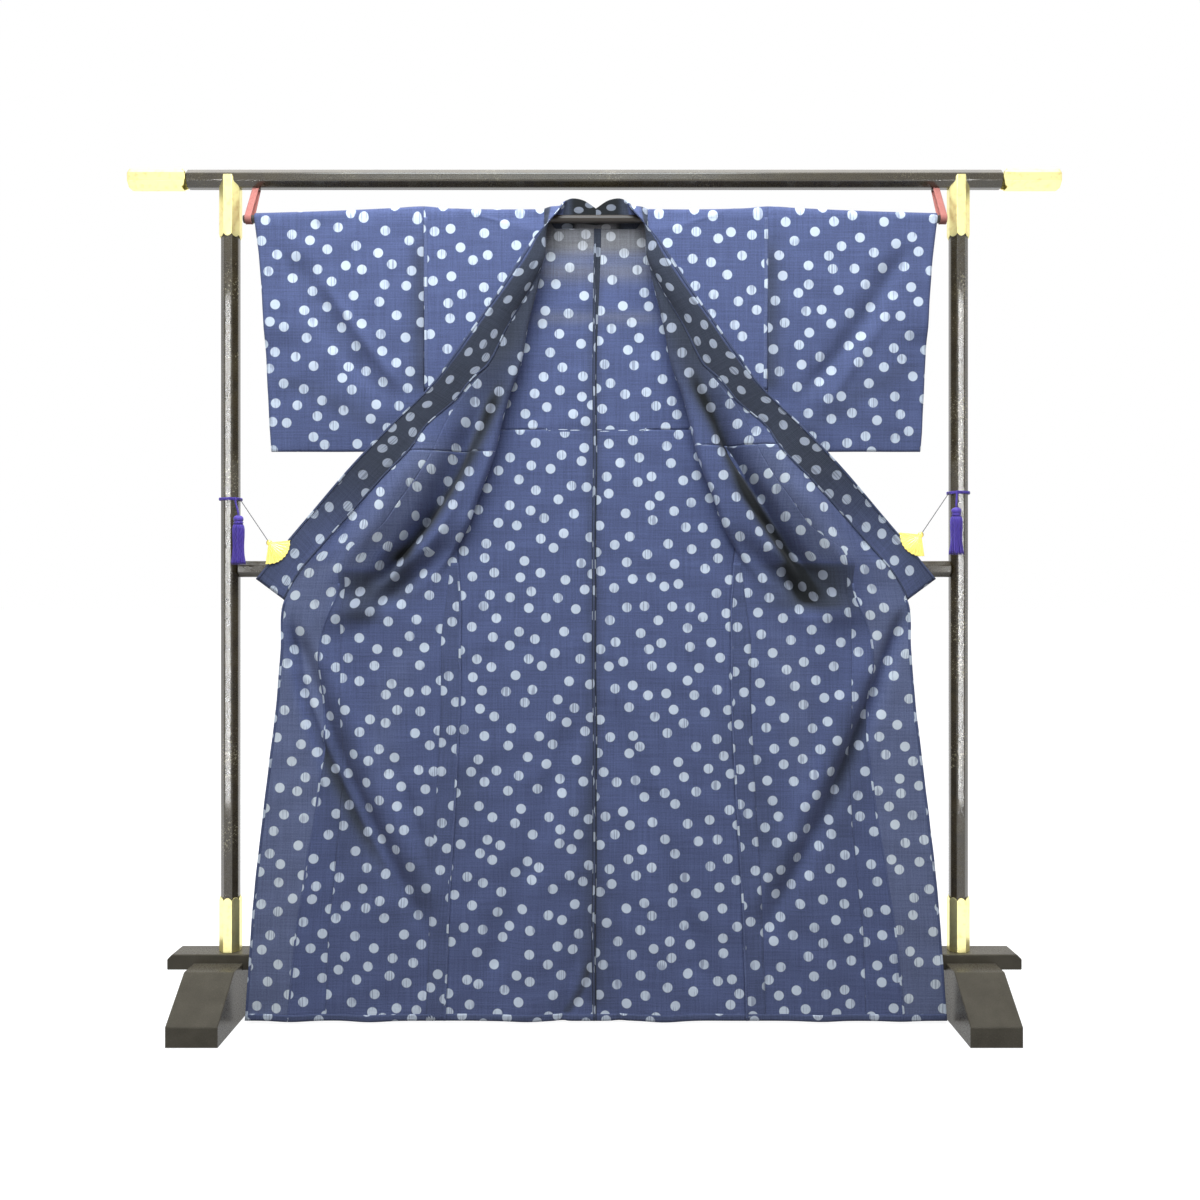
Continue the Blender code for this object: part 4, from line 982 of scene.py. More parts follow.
# %% Sleeves
SLEEVE_DROP = 0.482
SLEEVE_AT = (0.018, 0.100, 0.240, 0.360, 0.440, 0.482)
SLEEVE_HALF = (0.0100, 0.0105, 0.0100, 0.0080, 0.0052, 0.0028)
SLEEVE_EDGE = (0.679, 0.669, 0.660, 0.654, 0.650, 0.647)
CUFF_DROP = 0.230
CUFF_HALF = 0.0024
SLEEVE_FOLDS = {
    "left": folds(
        (((60, 625), (230, 523), (400, 400)), -7.5, 26, 26, 0.2, 0.2),
        (((60, 640), (200, 572), (390, 415)), -3, 14, 20, 0.2, 0.3),
        (((120, 560), (250, 470), (380, 372)), 4, 14, 12, 0.3, 0.3),
    ),
    "right": folds(
        (((60, 625), (230, 523), (400, 400)), -7.5, 26, 26, 0.2, 0.2),
        (((70, 620), (220, 540), (380, 405)), -3, 20, 14, 0.2, 0.3),
        (((180, 600), (300, 520), (420, 440)), 3, 12, 14, 0.3, 0.3),
    ),
}
# Painted shade along each sleeve's trough and in a broad band along its bottom; the last row is a
# darker band beside the armhole seam.
SLEEVE_LAYERS_AND_PAINTED_SHADE = {
    "left": tones(
        (((70, 640), (230, 530), (400, 400)), 0.05, 30, 40, 0.1, 0.1),
        (((330, 640), (400, 500), (480, 360)), 0.14, 60, 30, 0.1, 0.1),
        (((20, 345), (200, 344), (380, 342)), 0.3, 10, 24, 0.25, 0.1),
    ),
    "right": tones(
        (((80, 620), (230, 530), (400, 400)), 0.05, 30, 40, 0.1, 0.1),
        (((300, 640), (390, 500), (480, 360)), 0.12, 60, 30, 0.1, 0.1),
        (((20, 345), (200, 344), (380, 342)), 0.3, 10, 24, 0.25, 0.1),
    ),
}


def sleeve_half(share, drop):
    """Half of the sleeve's thickness: less downwards, least where the cuff is sewn."""
    open_half = smooth_value(drop, SLEEVE_AT, SLEEVE_HALF)
    sewn = ease((share - 0.72) / 0.25) * ease((drop - CUFF_DROP) / 0.05)
    return open_half + (CUFF_HALF - open_half) * sewn


def sleeve_surface(side, sign, drops, facing, share):
    """Points of a sleeve: rows go round it, facing is 1 in front and -1 behind."""
    drop = drops[:, None] + 0.0 * share
    outer = smooth_value(np.maximum(drop, SLEEVE_AT[0]), SLEEVE_AT, SLEEVE_EDGE)
    x = ARMHOLE + (outer - ARMHOLE) * share
    half = sleeve_half(share, np.maximum(drop, SLEEVE_AT[0])) * facing[:, None]
    half = half * np.where(drop < ROD_DROP, bend_share(drop), 1.0)
    folds = sum(fold_height(row, x, drop) for row in SLEEVE_FOLDS[side])
    folds = folds + puckers(x, drop, 4.0 + sign) * (drop > ROD_DROP)
    return cloth_points(sign, x, folds + half, shoulder_height(x, drop)), x


for side, sign in SIDES:
    down = np.concatenate([np.linspace(0.0, ROD_DROP, 6), np.linspace(0.026, 0.476, 72)])
    turn = np.linspace(0.0, math.pi / 2, 5)[1:]
    bottom = SLEEVE_DROP - 0.0055 + 0.0055 * np.sin(turn)
    drops = np.concatenate([down, bottom, bottom[-2::-1], down[::-1]])
    facing = np.concatenate([np.ones(len(down)), np.cos(turn), -np.cos(turn[-2::-1]),
                             -np.ones(len(down))])
    share = shares(60)
    points, x = sleeve_surface(side, sign, drops, facing, share)
    round_it = np.concatenate([[0.0], np.cumsum(np.abs(np.diff(drops)) + 1e-9)])
    place = np.stack([x, round_it[:, None] + 0.0 * x], axis=-1)
    add_cloth(f"sleeve_cloth_{side}", points, place + [14.0 + sign, 0.11],
              tone_with_painted_shade(SLEEVE_LAYERS_AND_PAINTED_SHADE[side], x, drops[:, None] + 0.0 * x), CLOTH_WALL,
              replaced=(f"sleeve_{side}",))
print("sleeves", points.shape)

# %% [markdown]
# ## Seam allowances and hems
# We look at the inside of the robe, so what a sewer leaves inside shows: narrow allowances beside
# each seam, a stitched band at the hem and thin rolled hems down the front edges. Each is a strip of
# the same surface, lifted a little along its normal, with dots of its own that the edges cut off.

# %% Strips of cloth laid on the panels
STRIP_WALL = 0.0006
STRIP_STEP = 0.0080           # between two levels of a strip
LINE_LIFT, BAND_LIFT, COLLAR_LIFT = 0.0009, 0.0015, 0.0016
attached = {side: [] for side, _ in SIDES}


def lay_strip(side, name, points, lift, layers_and_painted_shade, seed, squeeze=1.0):
    """A strip on a grid of a panel's points; its flat place is measured along rows and columns.

    A strip that stands on edge shows its dots narrower by squeeze.
    """
    across = np.linalg.norm(np.diff(points, axis=1), axis=2)
    down = np.linalg.norm(np.diff(points, axis=0), axis=2)
    u = np.concatenate([np.zeros((len(points), 1)), np.cumsum(across, axis=1)], axis=1)
    v = np.concatenate([np.zeros((1, points.shape[1])), np.cumsum(down, axis=0)])
    place = np.stack([squeeze * u + 20.0 + 1.7 * seed, v + 0.61 * seed], axis=-1)
    attached[side].append(add_cloth(name, lifted(points, lift), place, layers_and_painted_shade, STRIP_WALL))


def front_strip(side, sign, name, drops, at, lift, layers_and_painted_shade, seed):
    """A strip on a front, at the given drops and lengths from the side seam."""
    lay_strip(side, f"{name}_{side}", front_surface(side, sign, drops, at), lift, layers_and_painted_shade, seed)


for side, sign in SIDES:
    seed = 3.0 + sign
    # centre back: the dark double allowance stands on edge, wide at the neck, with a paler fold
    drops = levels_down(0.0, HEM_DROP, STRIP_STEP, TUCK["back"])
    wander = (0.0010 * np.sin(9.0 * drops + 1.0) + 0.0006 * np.sin(23.0 * drops))[:, None]
    near_neck = 1 - ease(drops / 0.30)[:, None]
    reach = {"left": 0.0072 - 0.0032 * near_neck, "right": 0.0012 + 0.0092 * near_neck}[side]
    x = (reach - sign * wander * (1 - near_neck)) * shares(5)
    lay_strip(side, f"centre_back_allowance_{side}", back_surface(side, sign, drops, x), LINE_LIFT,
              0.86, seed)
    if side == "left":
        x = 0.0016 + wander * (1 - near_neck) - 0.0026 * near_neck + 0.0040 * shares(3)
        lay_strip(side, "centre_back_fold", back_surface(side, sign, drops, np.maximum(x, 0.0002)),
                  BAND_LIFT, 0.66 + 0.20 * near_neck, seed + 1.0, squeeze=2.2)
print(len(attached["left"]), "strips on the left of the back seam")

# %% [markdown]
# ## Side seams, overlap seams and hems
# A yukata is unlined, so its seam allowances are pressed to one side and show through as darker
# bands, and its hems are turned twice and stitched. The side allowance widens downwards because the
# loom width is never cut away. Each band copies the panel under it at a fixed small lift.

# %% Side seams, overlap seams and hems
for side, sign in SIDES:
    seed = 6.0 + 2.0 * sign
    drops = levels_down(0.440, HEM_DROP, STRIP_STEP)
    edge = level("side", drops)[:, None]
    allowance = 0.034 * ease((drops - 0.62) / 0.25)[:, None] + 0.006
    pieces = {
        "side_seam_fold": (0.0045 * shares(3) + 0.0 * edge, 0.34, BAND_LIFT),
        "side_allowance": (allowance * shares(8), 0.47, LINE_LIFT),
    }
    low = drops > 0.70
    for name, (away, tone, lift) in pieces.items():
        front_strip(side, sign, name, drops[low], away[low], lift, tone, seed)
        seed += 1.0
    # overlap seam: a narrow line of cut dots down the outer edge of its allowance
    drops = levels_down(0.745, HEM_DROP, STRIP_STEP)
    start = seam_lengths(drops)[0][:, None] + allowance_width(drops)[:, None]
    at = start + 0.0040 * np.linspace(-0.5, 0.5, 3)[None, :]
    front_strip(side, sign, "overlap_seam", drops, at, LINE_LIFT, 0.36, seed)
    # rolled hem down the front edge
    drops = levels_down(COLLAR_END, HEM_DROP, STRIP_STEP)
    at = seam_lengths(drops)[1][:, None] - 0.0050 * np.linspace(1.0, 0.0, 4)[None, :]
    front_strip(side, sign, "front_edge_hem", drops, at, LINE_LIFT, 0.50, seed + 1.0)
    # stitched band at the hem, in front and on the back
    drops = np.linspace(HEM_DROP - 0.0135, HEM_DROP, 4)
    x = level("side", drops)[:, None] * shares(60)
    lay_strip(side, f"back_hem_band_{side}", back_surface(side, sign, drops, x), LINE_LIFT, 0.55,
              seed + 2.0)
    at = seam_lengths(drops)[1][:, None] * shares(80)
    front_strip(side, sign, "front_hem_band", drops, at, LINE_LIFT, 0.55, seed + 3.0)
print(sum(len(v) for v in attached.values()), "strips in all")

# %% [markdown]
# ## Armhole and collar seams
# The sleeve is sewn to the body along a straight armhole seam, and the collar along the whole front
# edge. Both seams show as a line of dots cut in half, so they are narrow strips with their own cloth.

# %% Armhole and collar seams
for side, sign in SIDES:
    seed = 12.0 + 2.0 * sign
    drops = levels_down(ROD_DROP, 0.360, STRIP_STEP)
    at = 0.0075 * shares(4) + 0.0 * drops[:, None]
    front_strip(side, sign, "armhole_fold", drops, at, LINE_LIFT, 0.30, seed)
    for name, low, high, past, tone in (("collar_edge", 0.93, 1.0, -0.02, 0.60),
                                        ("collar_seam", 0.0, 0.055, 0.02, 0.66)):
        run, points = collar_surface(side, sign, np.linspace(low, high, 4))
        seed += 1.0
        lay_strip(side, f"{name}_{side}", points[run > past], COLLAR_LIFT, tone, seed)
print(sum(len(v) for v in attached.values()), "strips in all")

# %% [markdown]
# Each panel is a sheet cut flat on the loom width and hung.

# %% [markdown]
# ## Urushi-style lacquer
# The stand is softwood under a dark brown-black lacquer. Lacquer is a thick clear-brown film that
# levels itself, so it is glossy and a little wavy, and in specks it is rubbed through to a warmer
# brown.
# A coat over a dark base gives the two gloss layers, and a broad soft bump gives the waviness.

# %% Lacquer finish
LACQUER_WAVE = 0.035         # distance between the film's soft waves, in metres
DUST, SPECKS, RUBBED_PATCHES = 600.0, 300.0, 7.0      # to the metre
GRAIN = (6.0, 260.0, 260.0)                           # to the metre: long along the rod


def lacquer_finish(name, dark, light, coat, shine, worn):
    """A dark base under a clear coat, rubbed through in specks; noise moves tone, gloss and level."""
    finish, tree, shader = new_finish(name, Coat_Weight=coat, Coat_Roughness=0.08,
                                      Specular_IOR_Level=shine)
    place = solid_place(tree)
    film = noise(tree, place, 1 / LACQUER_WAVE)
    tone = mixed(tree, ranged(tree, film, 0.3, 0.7), dark, light)
    rubbed = combined(tree, noise(tree, place, SPECKS, 1.0), noise(tree, place, RUBBED_PATCHES),
                      "MULTIPLY")
    bare = ranged(tree, rubbed, 0.35, 0.42, 0.0, worn)
    gloss = ranged(tree, noise(tree, place, DUST), 0.35, 0.75, 0.22, 0.40)
    tree.links.new(gloss, shader.inputs["Roughness"])
    join_shader(tree, shader, mixed(tree, bare, tone, "#c9c0a0"), film, 0.20, 0.001)
    return finish


lacquer = lacquer_finish("brown_black_lacquer", "#2f2612", "#3d341d", 0.7, 0.5, 0.12)
post_lacquer = lacquer_finish("brown_black_lacquer_rubbed", "#2b230f", "#40361e", 0.7, 0.5, 0.45)
# Feet and plank take a lighter copy of the same lacquer with no coat: its paler base is painted
# reflection of the pale floor.
foot_lacquer_painted_reflection = lacquer_finish("brown_black_lacquer_painted_reflection", "#544f45", "#5e594e", 0.0, 0.12, 0.03)
stained, tree, shader = new_finish("dark_stained_wood", Roughness=0.42)
grain = noise(tree, stretched(tree, solid_place(tree), *GRAIN), 1.0, 3.0)
join_shader(tree, shader, mixed(tree, grain, "#15110d", "#3a2f24"))
print("lacquer waves every", LACQUER_WAVE * 1000, "mm")

# %% [markdown]
# ## Gold-plated sheet brass
# The caps, sleeves and clips are pressed from thin brass, plated with gold and finely hammered. The
# plating keeps the default IOR of a metal. Dimples a few millimetres across break up what it
# mirrors, and a browner tarnish lies over it in clouds.

# %% Gilt finish
DIMPLE = 0.0035              # hammer marks, in metres
CLOUDS = 90.0                # clouds of tarnish to the metre


def gold_finish(name, bright, tarnished):
    """Plated metal: Voronoi dimples for the hammer marks, cloudy noise for the tarnish."""
    finish, tree, shader = new_finish(name, Metallic=1.0, Roughness=0.30)
    place = solid_place(tree)
    marks = add_node(tree, "ShaderNodeTexVoronoi", {"Vector": place, "Scale": 1 / DIMPLE,
                                                    "Randomness": 0.9}).outputs["Distance"]
    tarnish = ranged(tree, noise(tree, place, CLOUDS, 4.0), 0.50, 0.78, 0.0, 0.40)
    join_shader(tree, shader, mixed(tree, tarnish, bright, tarnished), marks, 0.30, 0.0005)
    return finish


gilt = gold_finish("hammered_gold_plate", "#fff5ae", "#d0a654")
clip_gilt = gold_finish("yellow_gold_plate", "#ffee84", "#cfa03a")
print("hammer marks every", DIMPLE * 1000, "mm")

# %% [markdown]
# ## Rayon, tape and thread
# The tassels and windings are purple rayon, smooth and shiny along its threads. The loops that carry
# the rod are matt woven tape. Their patterns follow the pieces' own flat coordinates.

# %% Thread finishes
WEAR, NYLON_TWIST = 160.0, 700.0      # to the metre


def thread_finish(name, code, deep, across, along, roughness, sheen):
    """Spun or woven yarn: a wave across the flat coordinates for the twist, noise for wear."""
    finish, tree, shader = new_finish(name, Roughness=roughness, Sheen_Weight=sheen,
                                      Sheen_Roughness=0.4)
    flat = cloth_place(tree)
    yarn = add_node(tree, "ShaderNodeTexWave",
                    {"Vector": stretched(tree, flat, 1 / across, 1 / along, 1.0),
                     "Scale": WAVE, "Distortion": 1.2}, bands_direction="DIAGONAL").outputs["Fac"]
    both = combined(tree, yarn, noise(tree, flat, WEAR), "MULTIPLY")
    join_shader(tree, shader, mixed(tree, both, deep, code), yarn, 0.5, 0.0004)
    return finish


purple = thread_finish("purple_rayon_yarn", "#7d61e6", "#4b34ac", 0.0010, 0.0060, 0.45, 0.3)
salmon = thread_finish("salmon_cotton_tape", "#e3a296", "#bd6c64", 0.0012, 0.0012, 0.90, 0.2)
thread, tree, shader = new_finish("grey_nylon_thread", Roughness=0.55)
join_shader(tree, shader, mixed(tree, noise(tree, solid_place(tree), NYLON_TWIST), "#302e31",
                                "#5f5d60"))
for side, _ in SIDES:
    bpy.data.objects[f"clip_cord_{side}"].data.materials.append(thread)
FINISHES = {"lacquer": lacquer, "gilt": gilt, "purple": purple, "strap": salmon,
            "grey_cord": thread, "cotton": cotton}
for row in frame["record"]["subparts"]:
    item = bpy.data.objects.get(row["node"])
    item.data.materials.clear()
    # The feet and the plank take the lacquer with the painted reflection.
    low = row["node"].startswith(("foot", "base_plank"))
    item.data.materials.append(foot_lacquer_painted_reflection if low else FINISHES[row["material_slot"]])
bpy.data.objects["hanging_rod"].data.materials[0] = stained

# %% [markdown]
# ## Octagonal bars
# Posts, bar and rail are planed to eight flats, and the arrises are eased by the lacquer, which is
# where the long bright lines come from. Each is an outline carried along its axis, then bevelled.

# %% Posts, bar and rail
BAR_HEIGHT, BAR_ACROSS = 1.699, 0.037
BAR_HALF, CAP_LENGTH, CAP_ACROSS = 0.9465, 0.118, 0.0405
POST_X, POST_ACROSS = 0.742, 0.036
RAIL_HEIGHT, RAIL_ACROSS = 0.905, 0.033
PLANK_TOP = 0.128
FITTING_ACROSS = 0.0415
FIT_GAP = 0.0003


def ease_edges(piece, width, segments=3, angle=30.0):
    """Rounds the edges that are sharper than the angle, and keeps the flats flat."""
    bevel = piece.modifiers.new("eased_edges", "BEVEL")
    bevel.width = width
    bevel.segments = segments
    bevel.limit_method = "ANGLE"
    bevel.angle_limit = math.radians(angle)
    bevel.harden_normals = True


def octagon(across):
    """The eight corners of a regular octagon with flats on its axes."""
    turn = np.arange(8) * math.pi / 4 + math.pi / 8
    return across / 2 / math.cos(math.pi / 8) * np.stack([np.cos(turn), np.sin(turn)], axis=1)


def add_bar(node, across, low, high, upright, place, finish):
    """An octagonal bar from low to high along its axis, and its two end faces."""
    corners = octagon(across)
    ends = np.broadcast_to(np.array([low, high])[:, None, None], (2, 8, 1))
    ring = np.broadcast_to(corners, (2, 8, 2))
    order = (ring[..., :1], ring[..., 1:], ends) if upright else (ends, ring[..., :1], ring[..., 1:])
    points = np.concatenate(order, axis=-1) + np.asarray(place)
    after = (np.arange(8) + 1) % 8
    faces = np.stack([np.arange(8), after, after + 8, np.arange(8) + 8], axis=1).tolist()
    faces += [list(range(8))[::-1], list(range(8, 16))]
    piece = add_piece(f"{node}_lacquered", points, finish, "lacquer", (node,), faces=faces)
    ease_edges(piece, 0.0022)
    return piece


for side, sign in SIDES:
    add_bar(f"post_{side}", POST_ACROSS, PLANK_TOP + FIT_GAP, BAR_HEIGHT - BAR_ACROSS / 2 - FIT_GAP,
            True, (sign * POST_X, 0.0, 0.0), post_lacquer)
reach = BAR_HALF - CAP_LENGTH - FIT_GAP
add_bar("top_bar", BAR_ACROSS, -reach, reach, False, (0.0, 0.0, BAR_HEIGHT), lacquer)
reach = POST_X - POST_ACROSS / 2 - FIT_GAP
add_bar("lower_rail", RAIL_ACROSS, -reach, reach, False, (0.0, 0.0, RAIL_HEIGHT), lacquer)
print("bars of", BAR_ACROSS * 1000, POST_ACROSS * 1000, RAIL_ACROSS * 1000, "mm")

# %% [markdown]
# ## Gold sleeves and caps
# A sleeve is sheet metal wrapped round the eight flats. Its edge is cut in a scallop on each flat,
# which ends in a small point at each arris. The upper sleeve has a tongue that laps the bar.

# %% Sleeves and caps
SLEEVE_WALL, CAP_WALL = 0.0016, 0.0014
SCALLOP = 0.0060
TONGUE_FLAT, TONGUE_TOP, TONGUE_FOOT = 0.0086, 1.7035, 1.6798
CAP_TONGUE, CAP_NOTCH = 0.0095, 0.0030
TOP_SLEEVE_LOW, BASE_SLEEVE_HIGH = 1.5850, 0.2330      # heights of the scalloped edges' points
FLAT_STEPS = 10               # points along each of the eight flats


def octagon_walk(across):
    """Points once round an octagon, the place across each flat from 0 to 1, and the distance."""
    corners = octagon(across)
    corners = np.concatenate([corners, corners[:1]])
    share = np.linspace(0.0, 1.0, FLAT_STEPS + 1)[:-1]
    walk = corners[:-1, None] + (corners[1:] - corners[:-1])[:, None] * share[None, :, None]
    walk = np.concatenate([walk.reshape(-1, 2), corners[:1]])
    around = np.concatenate([np.tile(share, 8), [0.0]])
    return walk, around


def scalloped(around, edge, inward):
    """Edge of a sleeve: a round tongue on each flat, (1 - (2 u - 1)^2) deep towards inward."""
    return edge + inward * SCALLOP * (1 - (2 * around - 1) ** 2)


def wrap_sheet(name, walk, start, end, axis, place, node, rows=16):
    """Sheet metal between two edges that run round the octagon."""
    share = np.linspace(0.0, 1.0, rows)[:, None]
    along = start[None, :] + (end - start)[None, :] * share
    ring = np.broadcast_to(walk, (rows, *walk.shape))
    parts = (ring, along[..., None]) if axis == "z" else (along[..., None], ring)
    points = np.concatenate(parts, axis=-1) + np.asarray(place)
    piece = add_piece(name, points, gilt, "gilt", (node,), wall=(SLEEVE_WALL, -1.0))
    ease_edges(piece, 0.0004, 2, 40.0)
    return piece


walk, around = octagon_walk(FITTING_ACROSS)
for side, sign in SIDES:
    place = (sign * POST_X, 0.0, 0.0)
    low = scalloped(around, TOP_SLEEVE_LOW, -1.0)
    slant = np.clip((np.abs(walk[:, 0]) - TONGUE_FLAT) / (FITTING_ACROSS / 2 - TONGUE_FLAT), 0.0, 1.0)
    high = TONGUE_TOP + (TONGUE_FOOT - TONGUE_TOP) * slant
    wrap_sheet(f"top_sleeve_{side}", walk, low, high, "z", place, f"top_fitting_{side}", 24)
    low = np.full(len(walk), PLANK_TOP + 0.0004)
    high = scalloped(around, BASE_SLEEVE_HIGH, 1.0)
    wrap_sheet(f"base_sleeve_{side}", walk, low, high, "z", place, f"base_fitting_{side}", 24)
print("sleeves with", len(walk) - 1, "points round")

# %% [markdown]
# ## Caps on the bar ends
# A cap is one pressed cup: eight walls, closed at the far end, with the same scalloped rim as the
# sleeves. It is the same wrapped sheet laid along the bar, with its tongue pointing inwards.

# %% Bar caps
walk, around = octagon_walk(CAP_ACROSS)
for side, sign in SIDES:
    rise = np.abs(walk[:, 1]) / (CAP_ACROSS / 2)
    inner = (BAR_HALF - CAP_LENGTH + CAP_TONGUE * rise ** 2
             + CAP_NOTCH * bell(rise, 0.86, 0.06))
    ends = np.array([[BAR_HALF - 0.005, 1.0], [BAR_HALF - 0.0014, 0.965], [BAR_HALF, 0.88],
                     [BAR_HALF, 0.40], [BAR_HALF, 0.0]])
    share = np.linspace(0.0, 1.0, 12)[:, None]
    out = inner[None, :] + (ends[0, 0] - inner)[None, :] * share
    out = np.concatenate([out, np.broadcast_to(ends[1:, :1], (4, len(walk)))])
    scale = np.concatenate([np.ones(12), ends[1:, 1]])
    points = np.concatenate([sign * out[..., None], walk[None] * scale[:, None, None]], axis=-1)
    points = points + [0.0, 0.0, BAR_HEIGHT]
    piece = add_piece(f"bar_cap_gilt_{side}", points, gilt, "gilt", (f"bar_cap_{side}",),
                      wall=(CAP_WALL, -1.0))
    ease_edges(piece, 0.0003, 2, 40.0)
print("caps", CAP_LENGTH * 1000, "mm long")

# %% [markdown]
# ## The collar clips
# Each clip is a pair of fan-shaped jaws on a small hinge, pressed with fan ribs, and it grips the
# collar's folded edge near its tip. A jaw is worked out in polar form: angle across the fan and
# distance from the hinge, with ribs that rise and fall with the angle.

# %% Fan clips
CLIP_APEX = {"left": (0.6475, 0.956), "right": (0.6499, 0.9718)}
CLIP_REACH, CLIP_BOSS, CLIP_THICK, CLIP_FORWARD = 0.043, 0.006, 0.0105, 0.0045
FAN_RIBS = 9
JAW_WALL = 0.0012


def jaw_surface(sign, apex, front):
    """Ribbed fan: y = -front * (half thickness - rim bend + rib * r * cos(2 pi ribs a))."""
    a = shares(91)
    r = np.linspace(0.03, 1.0, 26)[:, None]
    angle = np.radians(-6.0 + 104.0 * a)
    scallop = 1 - 0.030 * (0.5 - 0.5 * np.cos(2 * math.pi * FAN_RIBS * a)) * ease((r - 0.7) / 0.3)
    reach = CLIP_REACH * r * scallop
    rib = 0.00045 * ease(r / 0.5) * np.cos(2 * math.pi * FAN_RIBS * a)
    dome = 0.0012 * (1 - r ** 4)
    y = -front * (CLIP_THICK / 2 - 0.0016 + dome * 0.4 + rib)
    return np.stack([sign * (apex[0] - reach * np.cos(angle)) + 0.0 * y, ROD_Y - CLIP_FORWARD + y,
                     apex[1] - reach * np.sin(angle) + 0.0 * y], axis=-1)


def ball_points(centre, radius):
    """A ball: 12 rows from pole to pole, 24 columns once round."""
    up = np.linspace(0.0, math.pi, 12)[:, None]
    turn = np.linspace(0.0, 2 * math.pi, 25)[None, :]
    ball = np.stack([np.sin(up) * np.cos(turn), np.cos(up) + 0.0 * turn,
                     np.sin(up) * np.sin(turn)], axis=-1)
    return np.asarray(centre) + radius * ball


for side, sign in SIDES:
    apex = CLIP_APEX[side]
    for part, front in (("front", 1.0), ("back", -1.0)):
        add_piece(f"clip_{part}_jaw_{side}", jaw_surface(sign, apex, front), clip_gilt, "gilt",
                  (f"collar_clip_{side}",), wall=(JAW_WALL, 0.0))
    hinge = ball_points((sign * apex[0], ROD_Y - CLIP_FORWARD, apex[1]),
                        np.array([CLIP_BOSS, CLIP_THICK / 2 - 0.0004, CLIP_BOSS]))
    add_piece(f"clip_hinge_{side}", hinge, clip_gilt, "gilt", (f"collar_clip_{side}",))
print("fans of", FAN_RIBS, "ribs")

# %% [markdown]
# ## Twisted cord, and the tassels
# The windings and stems are two-ply cord: two round strands that turn about a common path. Carrying
# a circle round a path gives a strand, and the path itself is wound into a small helix. A tassel is
# a bound head over a skirt of yarn, made as many thin tapering strands in one array.

# %% Twisted cord
WRAP_HEIGHT = {"left": 1.047, "right": 1.060}
WINDING_REACH, WINDING_RISE, WINDING_THICK, WINDING_PITCH = 0.0217, 0.0013, 0.0016, 0.0080
STEM_FROM, STEM_DROOP, STEM_LEAD = 0.0273, 0.014, 0.010     # from the post's axis; and its curves
STEM_THICK, STEM_PITCH = 0.0021, 0.0075
TASSEL_X = {"left": 0.714, "right": 0.726}
TASSEL_Y = -0.0385
TASSEL_HEAD = {"left": 1.012, "right": 1.028}
TASSEL_LENGTH = {"left": 0.101, "right": 0.097}
CLOSED_END = 0.000001        # radius at which a strand ends


def across_path(path):
    """Two directions at each point of a path, square to it and to each other."""
    along = np.gradient(path, axis=-2)
    along = along / np.linalg.norm(along, axis=-1, keepdims=True)
    guide = np.where(np.abs(along[..., 2:3]) > 0.8, [0.0, 1.0, 0.0], [0.0, 0.0, 1.0])
    first = np.cross(along, guide)
    first = first / np.linalg.norm(first, axis=-1, keepdims=True)
    return first, np.cross(along, first)


def carry_circle(path, radius, sides=8):
    """path + radius (cos a * one side + sin a * other side): paths (..., n, 3) to surfaces."""
    first, second = across_path(path)
    turn = np.linspace(0.0, 2 * math.pi, sides + 1)[:, None]
    radius = np.broadcast_to(radius, path.shape[:-1])[..., None, None]
    return path[..., None, :] + radius * (np.cos(turn) * first[..., None, :]
                                          + np.sin(turn) * second[..., None, :])


def many_grids(count, rows, columns):
    """Faces of several equal grids whose points are stored one after the other."""
    one = grid_faces(rows, columns)
    return (one[None] + (np.arange(count) * rows * columns)[:, None, None]).reshape(-1, 4)


def strand_flat(count, rows, columns, length, around):
    """Flat coordinates of such grids: round each strand, and down it."""
    u, v = np.meshgrid(np.linspace(0.0, around, columns), np.linspace(0.0, length, rows))
    flat = np.broadcast_to(np.stack([u, v], axis=-1), (count, rows, columns, 2))
    return flat + np.arange(count)[:, None, None, None] * 0.013


def add_yarn(name, points, node, length):
    """Tubes of purple yarn that are one piece: (count, rows, columns, 3) points."""
    count, rows, columns = points.shape[:3]
    add_piece(name, points, purple, "purple", (node,), faces=many_grids(count, rows, columns),
              flat=strand_flat(count, rows, columns, length, 0.006))


def add_two_ply(name, path, radius, pitch, node, closed=False):
    """Two strands that wind round the path, half a turn apart; an open cord's ends are closed."""
    first, second = across_path(path)
    run = run_along(path)
    turn = 2 * math.pi * max(round(run[-1] / pitch), 1) * run / run[-1]
    turn = turn + np.array([0.0, math.pi])[:, None]
    strands = path + 0.5 * radius * (np.cos(turn)[..., None] * first
                                     + np.sin(turn)[..., None] * second)
    thick = 0.56 * radius * np.ones(len(path))
    if not closed:
        thick[[0, -1]] = CLOSED_END
    points = carry_circle(strands, thick)
    if closed:
        points[:, -1] = points[:, 0]
    add_yarn(name, points, node, run[-1])


